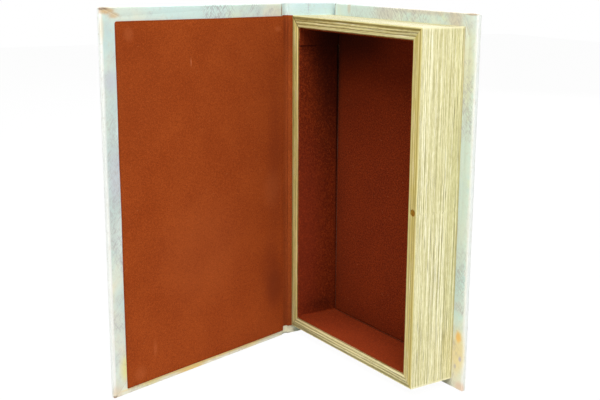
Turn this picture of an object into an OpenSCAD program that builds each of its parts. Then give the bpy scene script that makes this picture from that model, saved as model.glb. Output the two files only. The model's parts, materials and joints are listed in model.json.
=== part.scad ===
// Book box: a hardcover case whose pages are a shallow tray, lined with felt and shut by a small magnet.
// Sizes are in millimetres. X runs across the back board to its fore edge, Y from the tray's mouth to the
// back, and Z from tail to head. The origin is the middle of the back board's tail edge.
// The front cover and its hinge are drawn shut, then turned open about the hinge line.

/* [Case] */
// Height of the covered boards
case_h = 270; // [200:1:320]
// Width of a covered board from hinge edge to fore edge
cover_w = 169; // [150:1:200]
// Thickness of the greyboard
board_t = 3; // [2:0.1:4.5]
// Thickness of the printed covering paper
paper_t = 0.3; // [0.2:0.05:0.5]
// Width of the covering paper turned in over the inner faces
turn_in = 15; // [8:0.5:15.5]
// Rounding of the covered fore edges and of the spine
edge_r = 0.9; // [0.6:0.1:1.2]

/* [Joints] */
// Gap between the spine and the hinge edge of each board
joint_gap = 3; // [2.4:0.1:5]
// Depth of the groove pressed into the back joint
groove_d = 1; // [0.4:0.1:1.2]
// Space between the turning hinge and the spine's lined edge
swing_gap = 0.3; // [0.3:0.05:0.8]
// Opening of the front cover, 0 when it is shut
open_angle = 75; // [0:5:195]

/* [Tray] */
// Overhang of the boards past the tray at the fore edge
fore_square = 12; // [4:0.5:20]
// Overhang of the boards past the tray at the head
head_square = 9; // [2:0.5:14]
// Overhang of the boards past the tray at the tail
tail_square = 6.5; // [2:0.5:11]
// Depth of the tray from its rim to the back board
tray_d = 38; // [20:0.5:80]
// Thickness of the tray's wooden walls
wall_t = 8.7; // [8:0.1:14]
// Thickness of the page-edge paper
page_t = 0.3; // [0.2:0.05:0.5]

/* [Felt] */
// Thickness of the felt
felt_t = 0.8; // [0.5:0.1:1.5]
// Thickness of the felt where it is pressed down in the joint
joint_felt_t = 0.4; // [0.3:0.05:0.8]
// Depth of the lining's front edge behind the rim
felt_recess = 0.5; // [0:0.1:2]
// Length of the lining band that overlaps its own start
felt_overlap = 14; // [6:1:30]
// Border of paper left at the cover's fore edge
felt_fore = 11; // [4:0.5:14]
// Border of paper left at the cover's head
felt_head = 9.5; // [4:0.5:14]
// Border of paper left at the cover's tail
felt_tail = 4.2; // [2:0.2:14]

/* [Closure] */
// Gap between the rim and the cover's felt when the box is shut
closing_gap = 0.4; // [0.3:0.05:1]
// Diameter of the magnet
magnet_d = 5; // [4:0.5:6]
// Length of the magnet
magnet_t = 3; // [2:0.5:6]
// Distance from the fore edge wall's outer side to the magnet's centre
magnet_inset = 3.8; // [3.5:0.1:5]
// Height of the magnet above the tail edges
magnet_z = 135; // [60:1:180]
// Diameter of the steel disc under the cover's felt
keeper_d = 8; // [6:0.5:12]
// Thickness of the steel disc
keeper_t = 1; // [0.5:0.1:1.2]
// Space round the magnet and the disc in their seats
seat_gap = 0.05; // [0.02:0.01:0.1]

/* [Hidden] */
$fn = 48;
eps = 0.01;

// Names of the tray's sides, in the order in which tray_corners() runs round it
TAIL = 0;
FORE = 1;
HEAD = 2;
SPINE = 3;

// Colours
greyboard = "#8d867a";
cover_print = "#d3e2dc";
page_print = "#cfc793";
rust_felt = "#96401a";
bare_wood = "#b8935f";
gilt_metal = "#9c8250";
steel = "#a7a9ab";

// A covered board, with paper on both faces
case_t = board_t + 2 * paper_t;
hinge_x = -cover_w / 2;
fore_x = cover_w / 2;
back_out_y = case_t / 2;
back_in_y = -case_t / 2;
board_in_y = back_in_y + paper_t;

// The spine stands at right angles to the back board
spine_in_x = hinge_x - joint_gap;
spine_out_x = spine_in_x - case_t;

// The tray's rim, and the shut cover in front of it
rim_y = back_in_y - tray_d;
cover_in_y = rim_y - closing_gap - felt_t;
cover_out_y = cover_in_y - case_t;

// The cover turns about the corner where the paper leaves the spine
axis_x = spine_out_x;
axis_y = cover_out_y;
paper_edge_y = axis_y + paper_t + swing_gap;
lined_edge_y = paper_edge_y + joint_felt_t;
spine_front_y = lined_edge_y + joint_felt_t;

// The tray's outline, and how far each layer lies inside it
tray_x0 = spine_in_x;
tray_x1 = fore_x - fore_square;
tray_z0 = tail_square;
tray_z1 = case_h - head_square;
rim_w = page_t + wall_t;
floor_felt_y = board_in_y - felt_t;
lining_front_y = rim_y + felt_recess;

magnet_x = tray_x1 - page_t - magnet_inset;
wall_front_y = rim_y + page_t;

// Corners of the tray's outline, drawn in by inset, seen from its mouth
function tray_corners(inset) = [
    [tray_x0 + inset, tray_z0 + inset], [tray_x1 - inset, tray_z0 + inset],
    [tray_x1 - inset, tray_z1 - inset], [tray_x0 + inset, tray_z1 - inset]
];

// A corner of the rectangle from lo to hi, picked by the signs in side
function corner_of(lo, hi, side) = [side.x > 0 ? hi.x : lo.x, side.y > 0 ? hi.y : lo.y];

// Rectangle from lo to hi with the corners listed in soft rounded
module soft_rect(lo, hi, r, soft) {
    difference() {
        translate(lo) square(hi - lo);
        for (side = soft) translate(corner_of(lo, hi, side)) square(2 * r, center = true);
    }
    for (side = soft) translate(corner_of(lo, hi, side) - r * side) circle(r);
}

// Block between two opposite corners
module block(lo, hi) {
    translate(lo) cube(hi - lo);
}

// Outline in the X-Z plane, run along Y from y0 to y1
module run_back(y0, y1) {
    translate([0, y1, 0]) rotate([90, 0, 0]) linear_extrude(y1 - y0) children();
}

// Greyboard of one cover: hinge edge at X 0, outer face at Y 0 under its paper, drawn out by ease for a cut
module bare_board(ease = 0) {
    soft = [[1, 1], [1, -1]];
    translate([0, 0, paper_t])
        linear_extrude(case_h - 2 * paper_t)
            soft_rect([-ease, paper_t], [cover_w - paper_t, paper_t + board_t], edge_r - paper_t, soft);
}

// Printed paper of one cover, folded over fore edge, head and tail with mitred turn-ins
module board_wrap() {
    soft = [[1, 1], [1, -1]];
    score = paper_t / 2;
    difference() {
        linear_extrude(case_h) soft_rect([0, 0], [cover_w, case_t], edge_r, soft);
        bare_board(eps);
        block([-eps, case_t - paper_t - eps, turn_in], [cover_w - turn_in, case_t + eps, case_h - turn_in]);
        for (end = [0, 1]) translate([cover_w, case_t, end * case_h]) mirror([0, 0, end])
            rotate([0, -135, 0]) translate([edge_r * 2, -score, -score / 2])
                cube([(turn_in - edge_r) * sqrt(2) - edge_r, score + eps, score]);
    }
}

// One side of the tray's frame between two insets, mitred at both ends
module tray_side(side, outer, inner, y0, y1) {
    next = (side + 1) % 4;
    run_back(y0, y1)
        polygon([tray_corners(outer)[side], tray_corners(outer)[next],
                 tray_corners(inner)[next], tray_corners(inner)[side]]);
}

// Wooden wall behind the page-edge paper
module tray_wall(side) {
    color(bare_wood) tray_side(side, page_t, rim_w, wall_front_y, back_in_y);
}

// Page-edge paper: one strip down the outer side, folded over the rim
module page_paper(side) {
    color(page_print) {
        tray_side(side, 0, page_t, rim_y, back_in_y);
        tray_side(side, 0, rim_w, rim_y, wall_front_y);
    }
}

// Round seat along Y, from its mouth at y0 to y1
module round_seat(x, z, d, y0, y1) {
    translate([x, y1, z]) rotate([90, 0, 0]) cylinder(d = d + 2 * seat_gap, h = y1 - y0);
}

// Turns what belongs to the front cover open about the hinge line
module opened() {
    translate([axis_x, axis_y, 0]) rotate([0, 0, -open_angle]) translate([-axis_x, -axis_y, 0]) children();
}

// Case: boards, spine and their paper

module back_board() {
    color(greyboard) translate([hinge_x, back_out_y, 0]) mirror([0, 1, 0]) bare_board();
}

module back_cover_paper() {
    color(cover_print) translate([hinge_x, back_out_y, 0]) mirror([0, 1, 0]) board_wrap();
}

module spine_board() {
    color(greyboard) translate([0, 0, paper_t])
        linear_extrude(case_h - 2 * paper_t)
            soft_rect([spine_out_x + paper_t, spine_front_y], [spine_in_x - paper_t, back_out_y - paper_t],
                      edge_r - paper_t, [[-1, 1]]);
}

// Groove of the back joint: an arc of paper between the spine and the back board
module joint_groove() {
    half = joint_gap / 2;
    r = (half * half + groove_d * groove_d) / (2 * groove_d);
    intersection() {
        translate([spine_in_x + half, back_out_y + r - groove_d]) difference() {
            circle(r + paper_t);
            circle(r);
        }
        translate([spine_in_x, back_in_y]) square([joint_gap, case_t]);
    }
}

module spine_paper() {
    core_lo = [spine_out_x + paper_t, spine_front_y - eps];
    core_hi = [spine_in_x - paper_t, back_out_y - paper_t];
    color(cover_print) difference() {
        linear_extrude(case_h) {
            soft_rect([spine_out_x, spine_front_y], [spine_in_x, back_out_y], edge_r, [[-1, 1]]);
            translate([spine_out_x, paper_edge_y]) square([paper_t, spine_front_y - paper_edge_y + eps]);
            joint_groove();
        }
        translate([0, 0, paper_t]) linear_extrude(case_h - 2 * paper_t)
            soft_rect(core_lo, core_hi, edge_r - paper_t, [[-1, 1]]);
        block([spine_in_x - paper_t - eps, spine_front_y - eps, turn_in],
              [spine_in_x + eps, back_out_y - paper_t, case_h - turn_in]);
    }
}

// Felt on the part of the spine that stands in front of the rim, turned over its front edge
module spine_felt() {
    color(rust_felt) {
        block([spine_in_x, lined_edge_y, tray_z0], [spine_in_x + felt_t, rim_y, tray_z1]);
        block([spine_out_x + paper_t, lined_edge_y, tray_z0], [spine_in_x + eps, spine_front_y, tray_z1]);
    }
}

// Tray: mitred walls, page-edge paper, lining and magnet

module tray_tail_wall() { tray_wall(TAIL); }

module tray_fore_wall() {
    color(bare_wood) difference() {
        tray_wall(FORE);
        round_seat(magnet_x, magnet_z, magnet_d, wall_front_y - eps, wall_front_y + magnet_t);
    }
}

module tray_head_wall() { tray_wall(HEAD); }

module tray_spine_wall() { tray_wall(SPINE); }

module page_paper_tail() { page_paper(TAIL); }

module page_paper_fore() {
    color(page_print) difference() {
        page_paper(FORE);
        round_seat(magnet_x, magnet_z, magnet_d, rim_y - eps, wall_front_y + eps);
    }
}

module page_paper_head() { page_paper(HEAD); }

module page_paper_spine() { page_paper(SPINE); }

// Felt band round the inside of the walls, its end lapped over its start beside the head
module tray_wall_felt() {
    outer = tray_corners(rim_w);
    inner = tray_corners(rim_w + felt_t);
    lap = [inner[SPINE].x, inner[SPINE].y - felt_overlap];
    color(rust_felt) {
        run_back(lining_front_y, floor_felt_y) difference() {
            polygon(outer);
            polygon(inner);
        }
        run_back(lining_front_y, floor_felt_y) translate(lap) square([felt_t, felt_overlap]);
    }
}

// Felt on the back board, stepping over the turned-in paper where that reaches under it
module tray_floor_felt() {
    bare_lo = [hinge_x, turn_in];
    bare_hi = [fore_x - turn_in, case_h - turn_in];
    color(rust_felt) {
        run_back(floor_felt_y, back_in_y) polygon(tray_corners(rim_w));
        run_back(back_in_y, board_in_y) intersection() {
            polygon(tray_corners(rim_w));
            translate(bare_lo) square(bare_hi - bare_lo);
        }
    }
}

module magnet() {
    color(gilt_metal) translate([magnet_x, wall_front_y + magnet_t, magnet_z])
        rotate([90, 0, 0]) cylinder(d = magnet_d, h = magnet_t);
}

// Front cover and its hinge, drawn shut

module front_board() {
    board_face_y = cover_in_y - paper_t;
    color(greyboard) opened() difference() {
        translate([hinge_x, cover_out_y, 0]) bare_board();
        round_seat(magnet_x, magnet_z, keeper_d, board_face_y - keeper_t, board_face_y + eps);
    }
}

module front_cover_paper() {
    color(cover_print) opened() translate([hinge_x, cover_out_y, 0]) board_wrap();
}

// Paper between the spine and the front board, the box's only hinge
module hinge_paper() {
    color(cover_print) opened() block([axis_x, axis_y, 0], [hinge_x, axis_y + paper_t, case_h]);
}

// Felt in the joint from the hinge line on, turned up over the front board's hinge edge
module hinge_felt() {
    joint_x = axis_x + paper_t + swing_gap;
    joint_y = axis_y + paper_t;
    color(rust_felt) opened() {
        block([joint_x, joint_y, tray_z0], [hinge_x, joint_y + joint_felt_t, tray_z1]);
        block([hinge_x - felt_t, joint_y, tray_z0], [hinge_x, cover_in_y, tray_z1]);
    }
}

module cover_felt() {
    color(rust_felt) opened()
        block([hinge_x - felt_t, cover_in_y, felt_tail],
              [fore_x - felt_fore, cover_in_y + felt_t, case_h - felt_head]);
}

module keeper_disc() {
    color(steel) opened() translate([magnet_x, cover_in_y - paper_t, magnet_z])
        rotate([90, 0, 0]) cylinder(d = keeper_d, h = keeper_t);
}

back_board();
spine_board();
back_cover_paper();
spine_paper();
spine_felt();
tray_tail_wall();
tray_fore_wall();
tray_head_wall();
tray_spine_wall();
page_paper_tail();
page_paper_fore();
page_paper_head();
page_paper_spine();
tray_wall_felt();
tray_floor_felt();
magnet();
front_board();
front_cover_paper();
hinge_paper();
hinge_felt();
cover_felt();
keeper_disc();
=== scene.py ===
"""Looks of a book box: a hardcover case whose pages are a shallow tray, lined with felt.

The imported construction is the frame, and its pieces' boxes give every size here. Lengths are in metres in its
own axes: X runs across the back board to its fore edge, Y from the tray's mouth to the back, Z from tail to
head. The front cover's pieces are modelled shut and then turned open about the hinge line.
"""

import json
import logging
import math
from collections.abc import Callable, Iterator, Sequence
from contextlib import contextmanager
from dataclasses import dataclass, field
from enum import Enum
from functools import reduce

import bmesh
import bpy
from mathutils import Euler, Matrix, Vector, noise


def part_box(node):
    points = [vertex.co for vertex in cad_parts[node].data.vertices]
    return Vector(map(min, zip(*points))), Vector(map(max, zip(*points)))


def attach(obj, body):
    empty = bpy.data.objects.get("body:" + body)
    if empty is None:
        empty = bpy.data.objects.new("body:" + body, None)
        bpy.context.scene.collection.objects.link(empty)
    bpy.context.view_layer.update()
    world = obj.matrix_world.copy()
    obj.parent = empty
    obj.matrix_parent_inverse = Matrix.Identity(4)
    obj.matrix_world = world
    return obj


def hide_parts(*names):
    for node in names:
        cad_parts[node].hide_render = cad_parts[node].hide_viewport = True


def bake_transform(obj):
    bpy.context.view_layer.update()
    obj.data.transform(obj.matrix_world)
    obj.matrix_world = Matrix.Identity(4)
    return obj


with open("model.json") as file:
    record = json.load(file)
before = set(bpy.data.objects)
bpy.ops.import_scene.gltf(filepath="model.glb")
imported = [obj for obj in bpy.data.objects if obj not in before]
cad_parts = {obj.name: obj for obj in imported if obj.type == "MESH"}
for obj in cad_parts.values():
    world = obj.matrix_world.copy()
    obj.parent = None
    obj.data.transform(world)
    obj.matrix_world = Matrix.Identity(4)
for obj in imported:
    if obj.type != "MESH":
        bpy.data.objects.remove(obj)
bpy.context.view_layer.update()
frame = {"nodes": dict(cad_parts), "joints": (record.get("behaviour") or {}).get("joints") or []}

logging.basicConfig(level=logging.INFO, format="%(message)s")
log = logging.getLogger("book_box")

MM = 0.001
TOUCH = 0.01 * MM
PLACE = "shut_place"
STRIP = "strip_place"

Colour = tuple[float, float, float, float]
Piece = bpy.types.Object
Socket = bpy.types.NodeSocket
Corners = Sequence[Vector]
Seam = tuple[Vector, Vector]


class Body(Enum):
    """The two bodies that pieces ride on."""

    CASE = "case"
    COVER = "cover"


class Slot(Enum):
    """The record's material slots, named for each new piece but not used."""

    COVER_PRINT = "cover_print"
    PAGE_PRINT = "page_print"
    RUST_FELT = "rust_felt"
    GILT_METAL = "gilt_metal"


class Part(Enum):
    """What pick() selects."""

    EDGE = "EDGE"
    FACE = "FACE"


class Grain(Enum):
    """Direction of a wall's wood grain, as the sizes of its pattern along X, Y and Z."""

    UPRIGHT = (0.9 * MM, 0.9 * MM, 60 * MM)
    LEVEL = (60 * MM, 0.9 * MM, 0.9 * MM)


class Side(Enum):
    """A side of the tray, as the outward direction of its wall and the direction along it."""

    TAIL = ((0, 0, -1), (1, 0, 0))
    FORE = ((1, 0, 0), (0, 0, 1))
    HEAD = ((0, 0, 1), (1, 0, 0))
    SPINE = ((-1, 0, 0), (0, 0, 1))

    @property
    def outward(self) -> Vector:
        """Direction in which the wall faces away from the tray."""
        return Vector(self.value[0])

    @property
    def along(self) -> Vector:
        """Direction along the wall."""
        return Vector(self.value[1])


def rgb(red: float, green: float, blue: float) -> Colour:
    """Turns a colour as a screen shows it into the linear one that a shader takes.

    Args:
        red: Its red, 0 to 255.
        green: Its green.
        blue: Its blue.

    Returns:
        The colour, 0 to 1, and opaque.
    """

    def linear(value: float) -> float:
        """One part of the colour."""
        share = value / 255
        return share / 12.92 if share <= 0.04045 else ((share + 0.055) / 1.055) ** 2.4

    return (linear(red), linear(green), linear(blue), 1.0)


# Sizes taken from the frame


@dataclass(frozen=True)
class Extent:
    """Lowest and highest corners of a block of space."""

    lo: Vector
    hi: Vector

    @property
    def size(self) -> Vector:
        """Width, depth and height."""
        return self.hi - self.lo

    @property
    def mid(self) -> Vector:
        """Centre."""
        return (self.hi + self.lo) / 2

    @classmethod
    def of(cls, node: str) -> "Extent":
        """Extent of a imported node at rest."""
        return cls(*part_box(node))


@dataclass(frozen=True)
class Hinge:
    """The hinge line at the spine's front corner, and how far the cover stands open at rest."""

    foot: Vector
    opening: float

    @classmethod
    def from_frame(cls) -> "Hinge":
        """Reads the frame's only joint, whose lower limit is the shut box.

        Returns:
            The hinge.
        """
        joint = frame["joints"][0]
        place = Vector(joint["pos_m"])
        return cls(Vector((place.x, place.y, 0)), math.radians(-joint["range_deg"][0]))

    def turn(self, angle: float) -> Matrix:
        """Matrix that turns about the hinge line, anticlockwise seen from the head."""
        return Matrix.Translation(self.foot) @ Matrix.Rotation(angle, 4, "Z") @ Matrix.Translation(-self.foot)

    def opened(self) -> Matrix:
        """Matrix from the shut cover to the cover at rest."""
        return self.turn(-self.opening)

    def shut_extent(self, node: str) -> Extent:
        """Extent of a cover node once it is turned shut.

        Args:
            node: Name of a node on the cover.

        Returns:
            Its lowest and highest corners in the shut box.
        """
        shut = self.turn(self.opening)
        places = [shut @ point.co for point in frame["nodes"][node].data.vertices]
        lo = Vector([min(place[axis] for place in places) for axis in range(3)])
        hi = Vector([max(place[axis] for place in places) for axis in range(3)])
        return Extent(lo, hi)


# Modelling steps, as by hand


def near(a: float, b: float) -> bool:
    """Whether two coordinates are the same."""
    return abs(a - b) < TOUCH


def select_only(piece: Piece | None = None) -> None:
    """Selects one piece and makes it the active one, or leaves nothing selected.

    Args:
        piece: The piece, if any.
    """
    bpy.ops.object.select_all(action="DESELECT")
    if piece is not None:
        piece.select_set(True)
        bpy.context.view_layer.objects.active = piece


@contextmanager
def editing(piece: Piece) -> Iterator[None]:
    """Keeps a piece in edit mode, alone and with all of it selected, while its block runs.

    Args:
        piece: The piece.

    Yields:
        Nothing.
    """
    select_only(piece)
    bpy.ops.object.mode_set(mode="EDIT")
    bpy.ops.mesh.select_all(action="SELECT")
    yield
    bpy.ops.object.mode_set(mode="OBJECT")


def pick(piece: Piece, part: Part, test: Callable[[Corners], bool]) -> int:
    """Selects only the edges or faces of the piece in edit mode that pass a test.

    Args:
        piece: The piece that is being edited.
        part: What to select.
        test: Told the places of an element's corners.

    Returns:
        How many passed.
    """
    bpy.ops.mesh.select_mode(type=part.value)
    bpy.ops.mesh.select_all(action="DESELECT")
    mesh = bmesh.from_edit_mesh(piece.data)
    count = 0
    for element in {Part.EDGE: mesh.edges, Part.FACE: mesh.faces}[part]:
        if test([point.co for point in element.verts]):
            element.select_set(True)
            count += 1
    mesh.select_flush_mode()
    bmesh.update_edit_mesh(piece.data)
    return count


def all_at(axis: int, value: float) -> Callable[[Corners], bool]:
    """Test for elements that lie wholly at one coordinate."""
    return lambda corners: all(near(corner[axis], value) for corner in corners)


def sides_met(extent: Extent, corners: Corners, axes: Sequence[int] = (0, 1, 2)) -> int:
    """How many of a block's sides, square to some of the axes, an element lies on."""
    return sum(all_at(axis, side[axis])(corners) for axis in axes for side in (extent.lo, extent.hi))


def runs_along(corners: Corners, axis: int) -> bool:
    """Whether an edge runs along one axis."""
    step = corners[1] - corners[0]
    return abs(step[axis]) > 0.99 * step.length


def settle(name: str) -> Piece:
    """Names the new primitive and puts its place into its mesh.

    Args:
        name: Name of the piece.

    Returns:
        The piece.
    """
    piece = bpy.context.object
    piece.name = piece.data.name = name
    bpy.ops.object.transform_apply(location=True, rotation=True, scale=True)
    return piece


def start_block(name: str, extent: Extent) -> Piece:
    """Adds a cube at its size and place, to be shaped.

    Args:
        name: Name of the piece.
        extent: The space that it fills.

    Returns:
        The piece.
    """
    select_only()
    bpy.ops.mesh.primitive_cube_add(size=1, location=extent.mid, scale=extent.size)
    return settle(name)


def start_rod(name: str, place: Vector, radius: float, depth: float) -> Piece:
    """Adds a cylinder that lies along Y, to be shaped.

    Args:
        name: Name of the piece.
        place: Its centre.
        radius: Its radius.
        depth: Its length.

    Returns:
        The piece.
    """
    select_only()
    bpy.ops.mesh.primitive_cylinder_add(vertices=48, radius=radius, depth=depth, location=place,
                                        rotation=(math.pi / 2, 0, 0))
    return settle(name)


def start_sheet(name: str, walk: Sequence[Vector], width: Vector, face: Vector) -> Piece:
    """Folds a sheet: a plane on the walk's first stretch, whose far edge is extruded along the rest.

    Args:
        name: Name of the piece.
        walk: Corners that the sheet passes.
        width: The sheet's width, square to the walk.
        face: Direction in which the first stretch faces.

    Returns:
        The sheet, with no thickness yet.
    """
    step = walk[1] - walk[0]
    across = step.cross(width).normalized()
    place = Matrix((step, width, across)).transposed().to_4x4()
    place.translation = walk[0] + step / 2 + width / 2
    select_only()
    bpy.ops.mesh.primitive_plane_add(size=1)
    bpy.context.object.matrix_world = place
    piece = settle(name)
    ends = (walk[1], walk[1] + width)
    with editing(piece):
        pick(piece, Part.EDGE, lambda c: all(min((p - e).length for e in ends) < TOUCH for p in c))
        for here, there in zip(walk[1:], walk[2:]):
            bpy.ops.mesh.extrude_region_move(TRANSFORM_OT_translate={"value": there - here})
        bpy.ops.mesh.select_all(action="SELECT")
        if across.dot(face) < 0:
            bpy.ops.mesh.flip_normals()
    return piece


def round_folds(piece: Piece, test: Callable[[Corners], bool], radius: float, segments: int = 4) -> None:
    """Rounds the edges of a piece that pass a test.

    Args:
        piece: The piece, in object mode.
        test: Told the places of an edge's two ends.
        radius: Radius of the rounding.
        segments: Number of flats across it.
    """
    with editing(piece):
        if pick(piece, Part.EDGE, test):
            bpy.ops.mesh.bevel(offset=radius, segments=segments, affect="EDGES", clamp_overlap=True)


def cut_across(axis: int, *values: float) -> None:
    """Cuts the piece in edit mode along planes square to one axis.

    Args:
        axis: 0, 1 or 2, for X, Y or Z.
        *values: Places of the planes on that axis.
    """
    normal = Vector((axis == 0, axis == 1, axis == 2))
    for value in values:
        bpy.ops.mesh.select_all(action="SELECT")
        bpy.ops.mesh.bisect(plane_co=value * normal, plane_no=normal)


def divide(piece: Piece, axis: int, cuts: int) -> None:
    """Cuts every edge that runs along one axis into even lengths.

    Args:
        piece: The piece, in object mode.
        axis: 0, 1 or 2, for X, Y or Z.
        cuts: Cuts in each edge.
    """
    with editing(piece):
        pick(piece, Part.EDGE, lambda c: runs_along(c, axis))
        bpy.ops.mesh.subdivide(number_cuts=cuts)


def finish_with(piece: Piece, kind: str, **settings: object) -> None:
    """Adds a modifier to a piece and applies it.

    Args:
        piece: The piece.
        kind: Blender's name of the modifier.
        **settings: Values of the modifier.
    """
    select_only(piece)
    modifier = piece.modifiers.new(kind.title(), kind)
    for key, value in settings.items():
        setattr(modifier, key, value)
    bpy.ops.object.modifier_apply(modifier=modifier.name)


def thicken(piece: Piece, thickness: float, outwards: bool, group: str = "") -> None:
    """Gives a sheet its thickness, on the side that it faces or behind it, times a vertex group's weights."""
    finish_with(piece, "SOLIDIFY", thickness=thickness, offset=1 if outwards else -1,
                use_even_offset=True, vertex_group=group)


def soften(piece: Piece, width: float, angle: float = 50, segments: int = 2) -> None:
    """Rounds every edge that is sharper than an angle in degrees."""
    finish_with(piece, "BEVEL", width=width, segments=segments, limit_method="ANGLE",
                angle_limit=math.radians(angle), use_clamp_overlap=True)


def smooth(piece: Piece, angle: float = 35) -> None:
    """Shades a piece smooth, apart from edges sharper than an angle in degrees."""
    select_only(piece)
    bpy.ops.object.shade_smooth_by_angle(angle=math.radians(angle))


def sway(place: Vector, wavelength: float, seed: float = 0) -> float:
    """A smooth wave between about -1 and 1 that never repeats evenly."""
    return 1.6 * noise.noise(place / wavelength + Vector((seed, 1.7 * seed, 0.3)))


def shift_points(piece: Piece, move: Callable[[Vector], Vector]) -> None:
    """Moves each point of a mesh by what a function of its place gives."""
    for point in piece.data.vertices:
        point.co = point.co + move(point.co.copy())


def keep_attribute(piece: Piece, name: str = PLACE, value: Callable[[Vector], Vector] = Vector.copy) -> None:
    """Stores a vector worked out from each point's place, for the materials to read.

    Args:
        piece: The finished mesh.
        name: Name of the attribute.
        value: The vector to keep at a place, which is the place itself unless told.
    """
    data = piece.data.attributes.new(name, "FLOAT_VECTOR", "POINT").data
    for point, entry in zip(piece.data.vertices, data):
        entry.vector = value(point.co)


def dress(piece: Piece, material: bpy.types.Material) -> None:
    """Gives a mesh one material."""
    piece.data.materials.clear()
    piece.data.materials.append(material)


def hand_over(piece: Piece, material: bpy.types.Material, slot: Slot, body: Body | None, *nodes: str) -> None:
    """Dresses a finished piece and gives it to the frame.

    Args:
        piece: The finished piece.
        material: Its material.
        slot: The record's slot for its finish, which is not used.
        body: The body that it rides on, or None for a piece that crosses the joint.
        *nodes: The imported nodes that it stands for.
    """
    dress(piece, material)
    if body is not None:
        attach(piece, body.value)
    if nodes:
        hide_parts(*nodes)
    log.info("%s: %d faces", piece.name, len(piece.data.polygons))


# Finishes


@dataclass(frozen=True)
class Mark:
    """A stain, smudge, fibre, print tint, or patch of painted shade or painted light: its place in the shut box
    and half sizes, in mm, its colour and strength.
    """

    place: tuple[float, float, float]
    reach: tuple[float, float, float]
    colour: Colour
    share: float = 1.0


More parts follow.
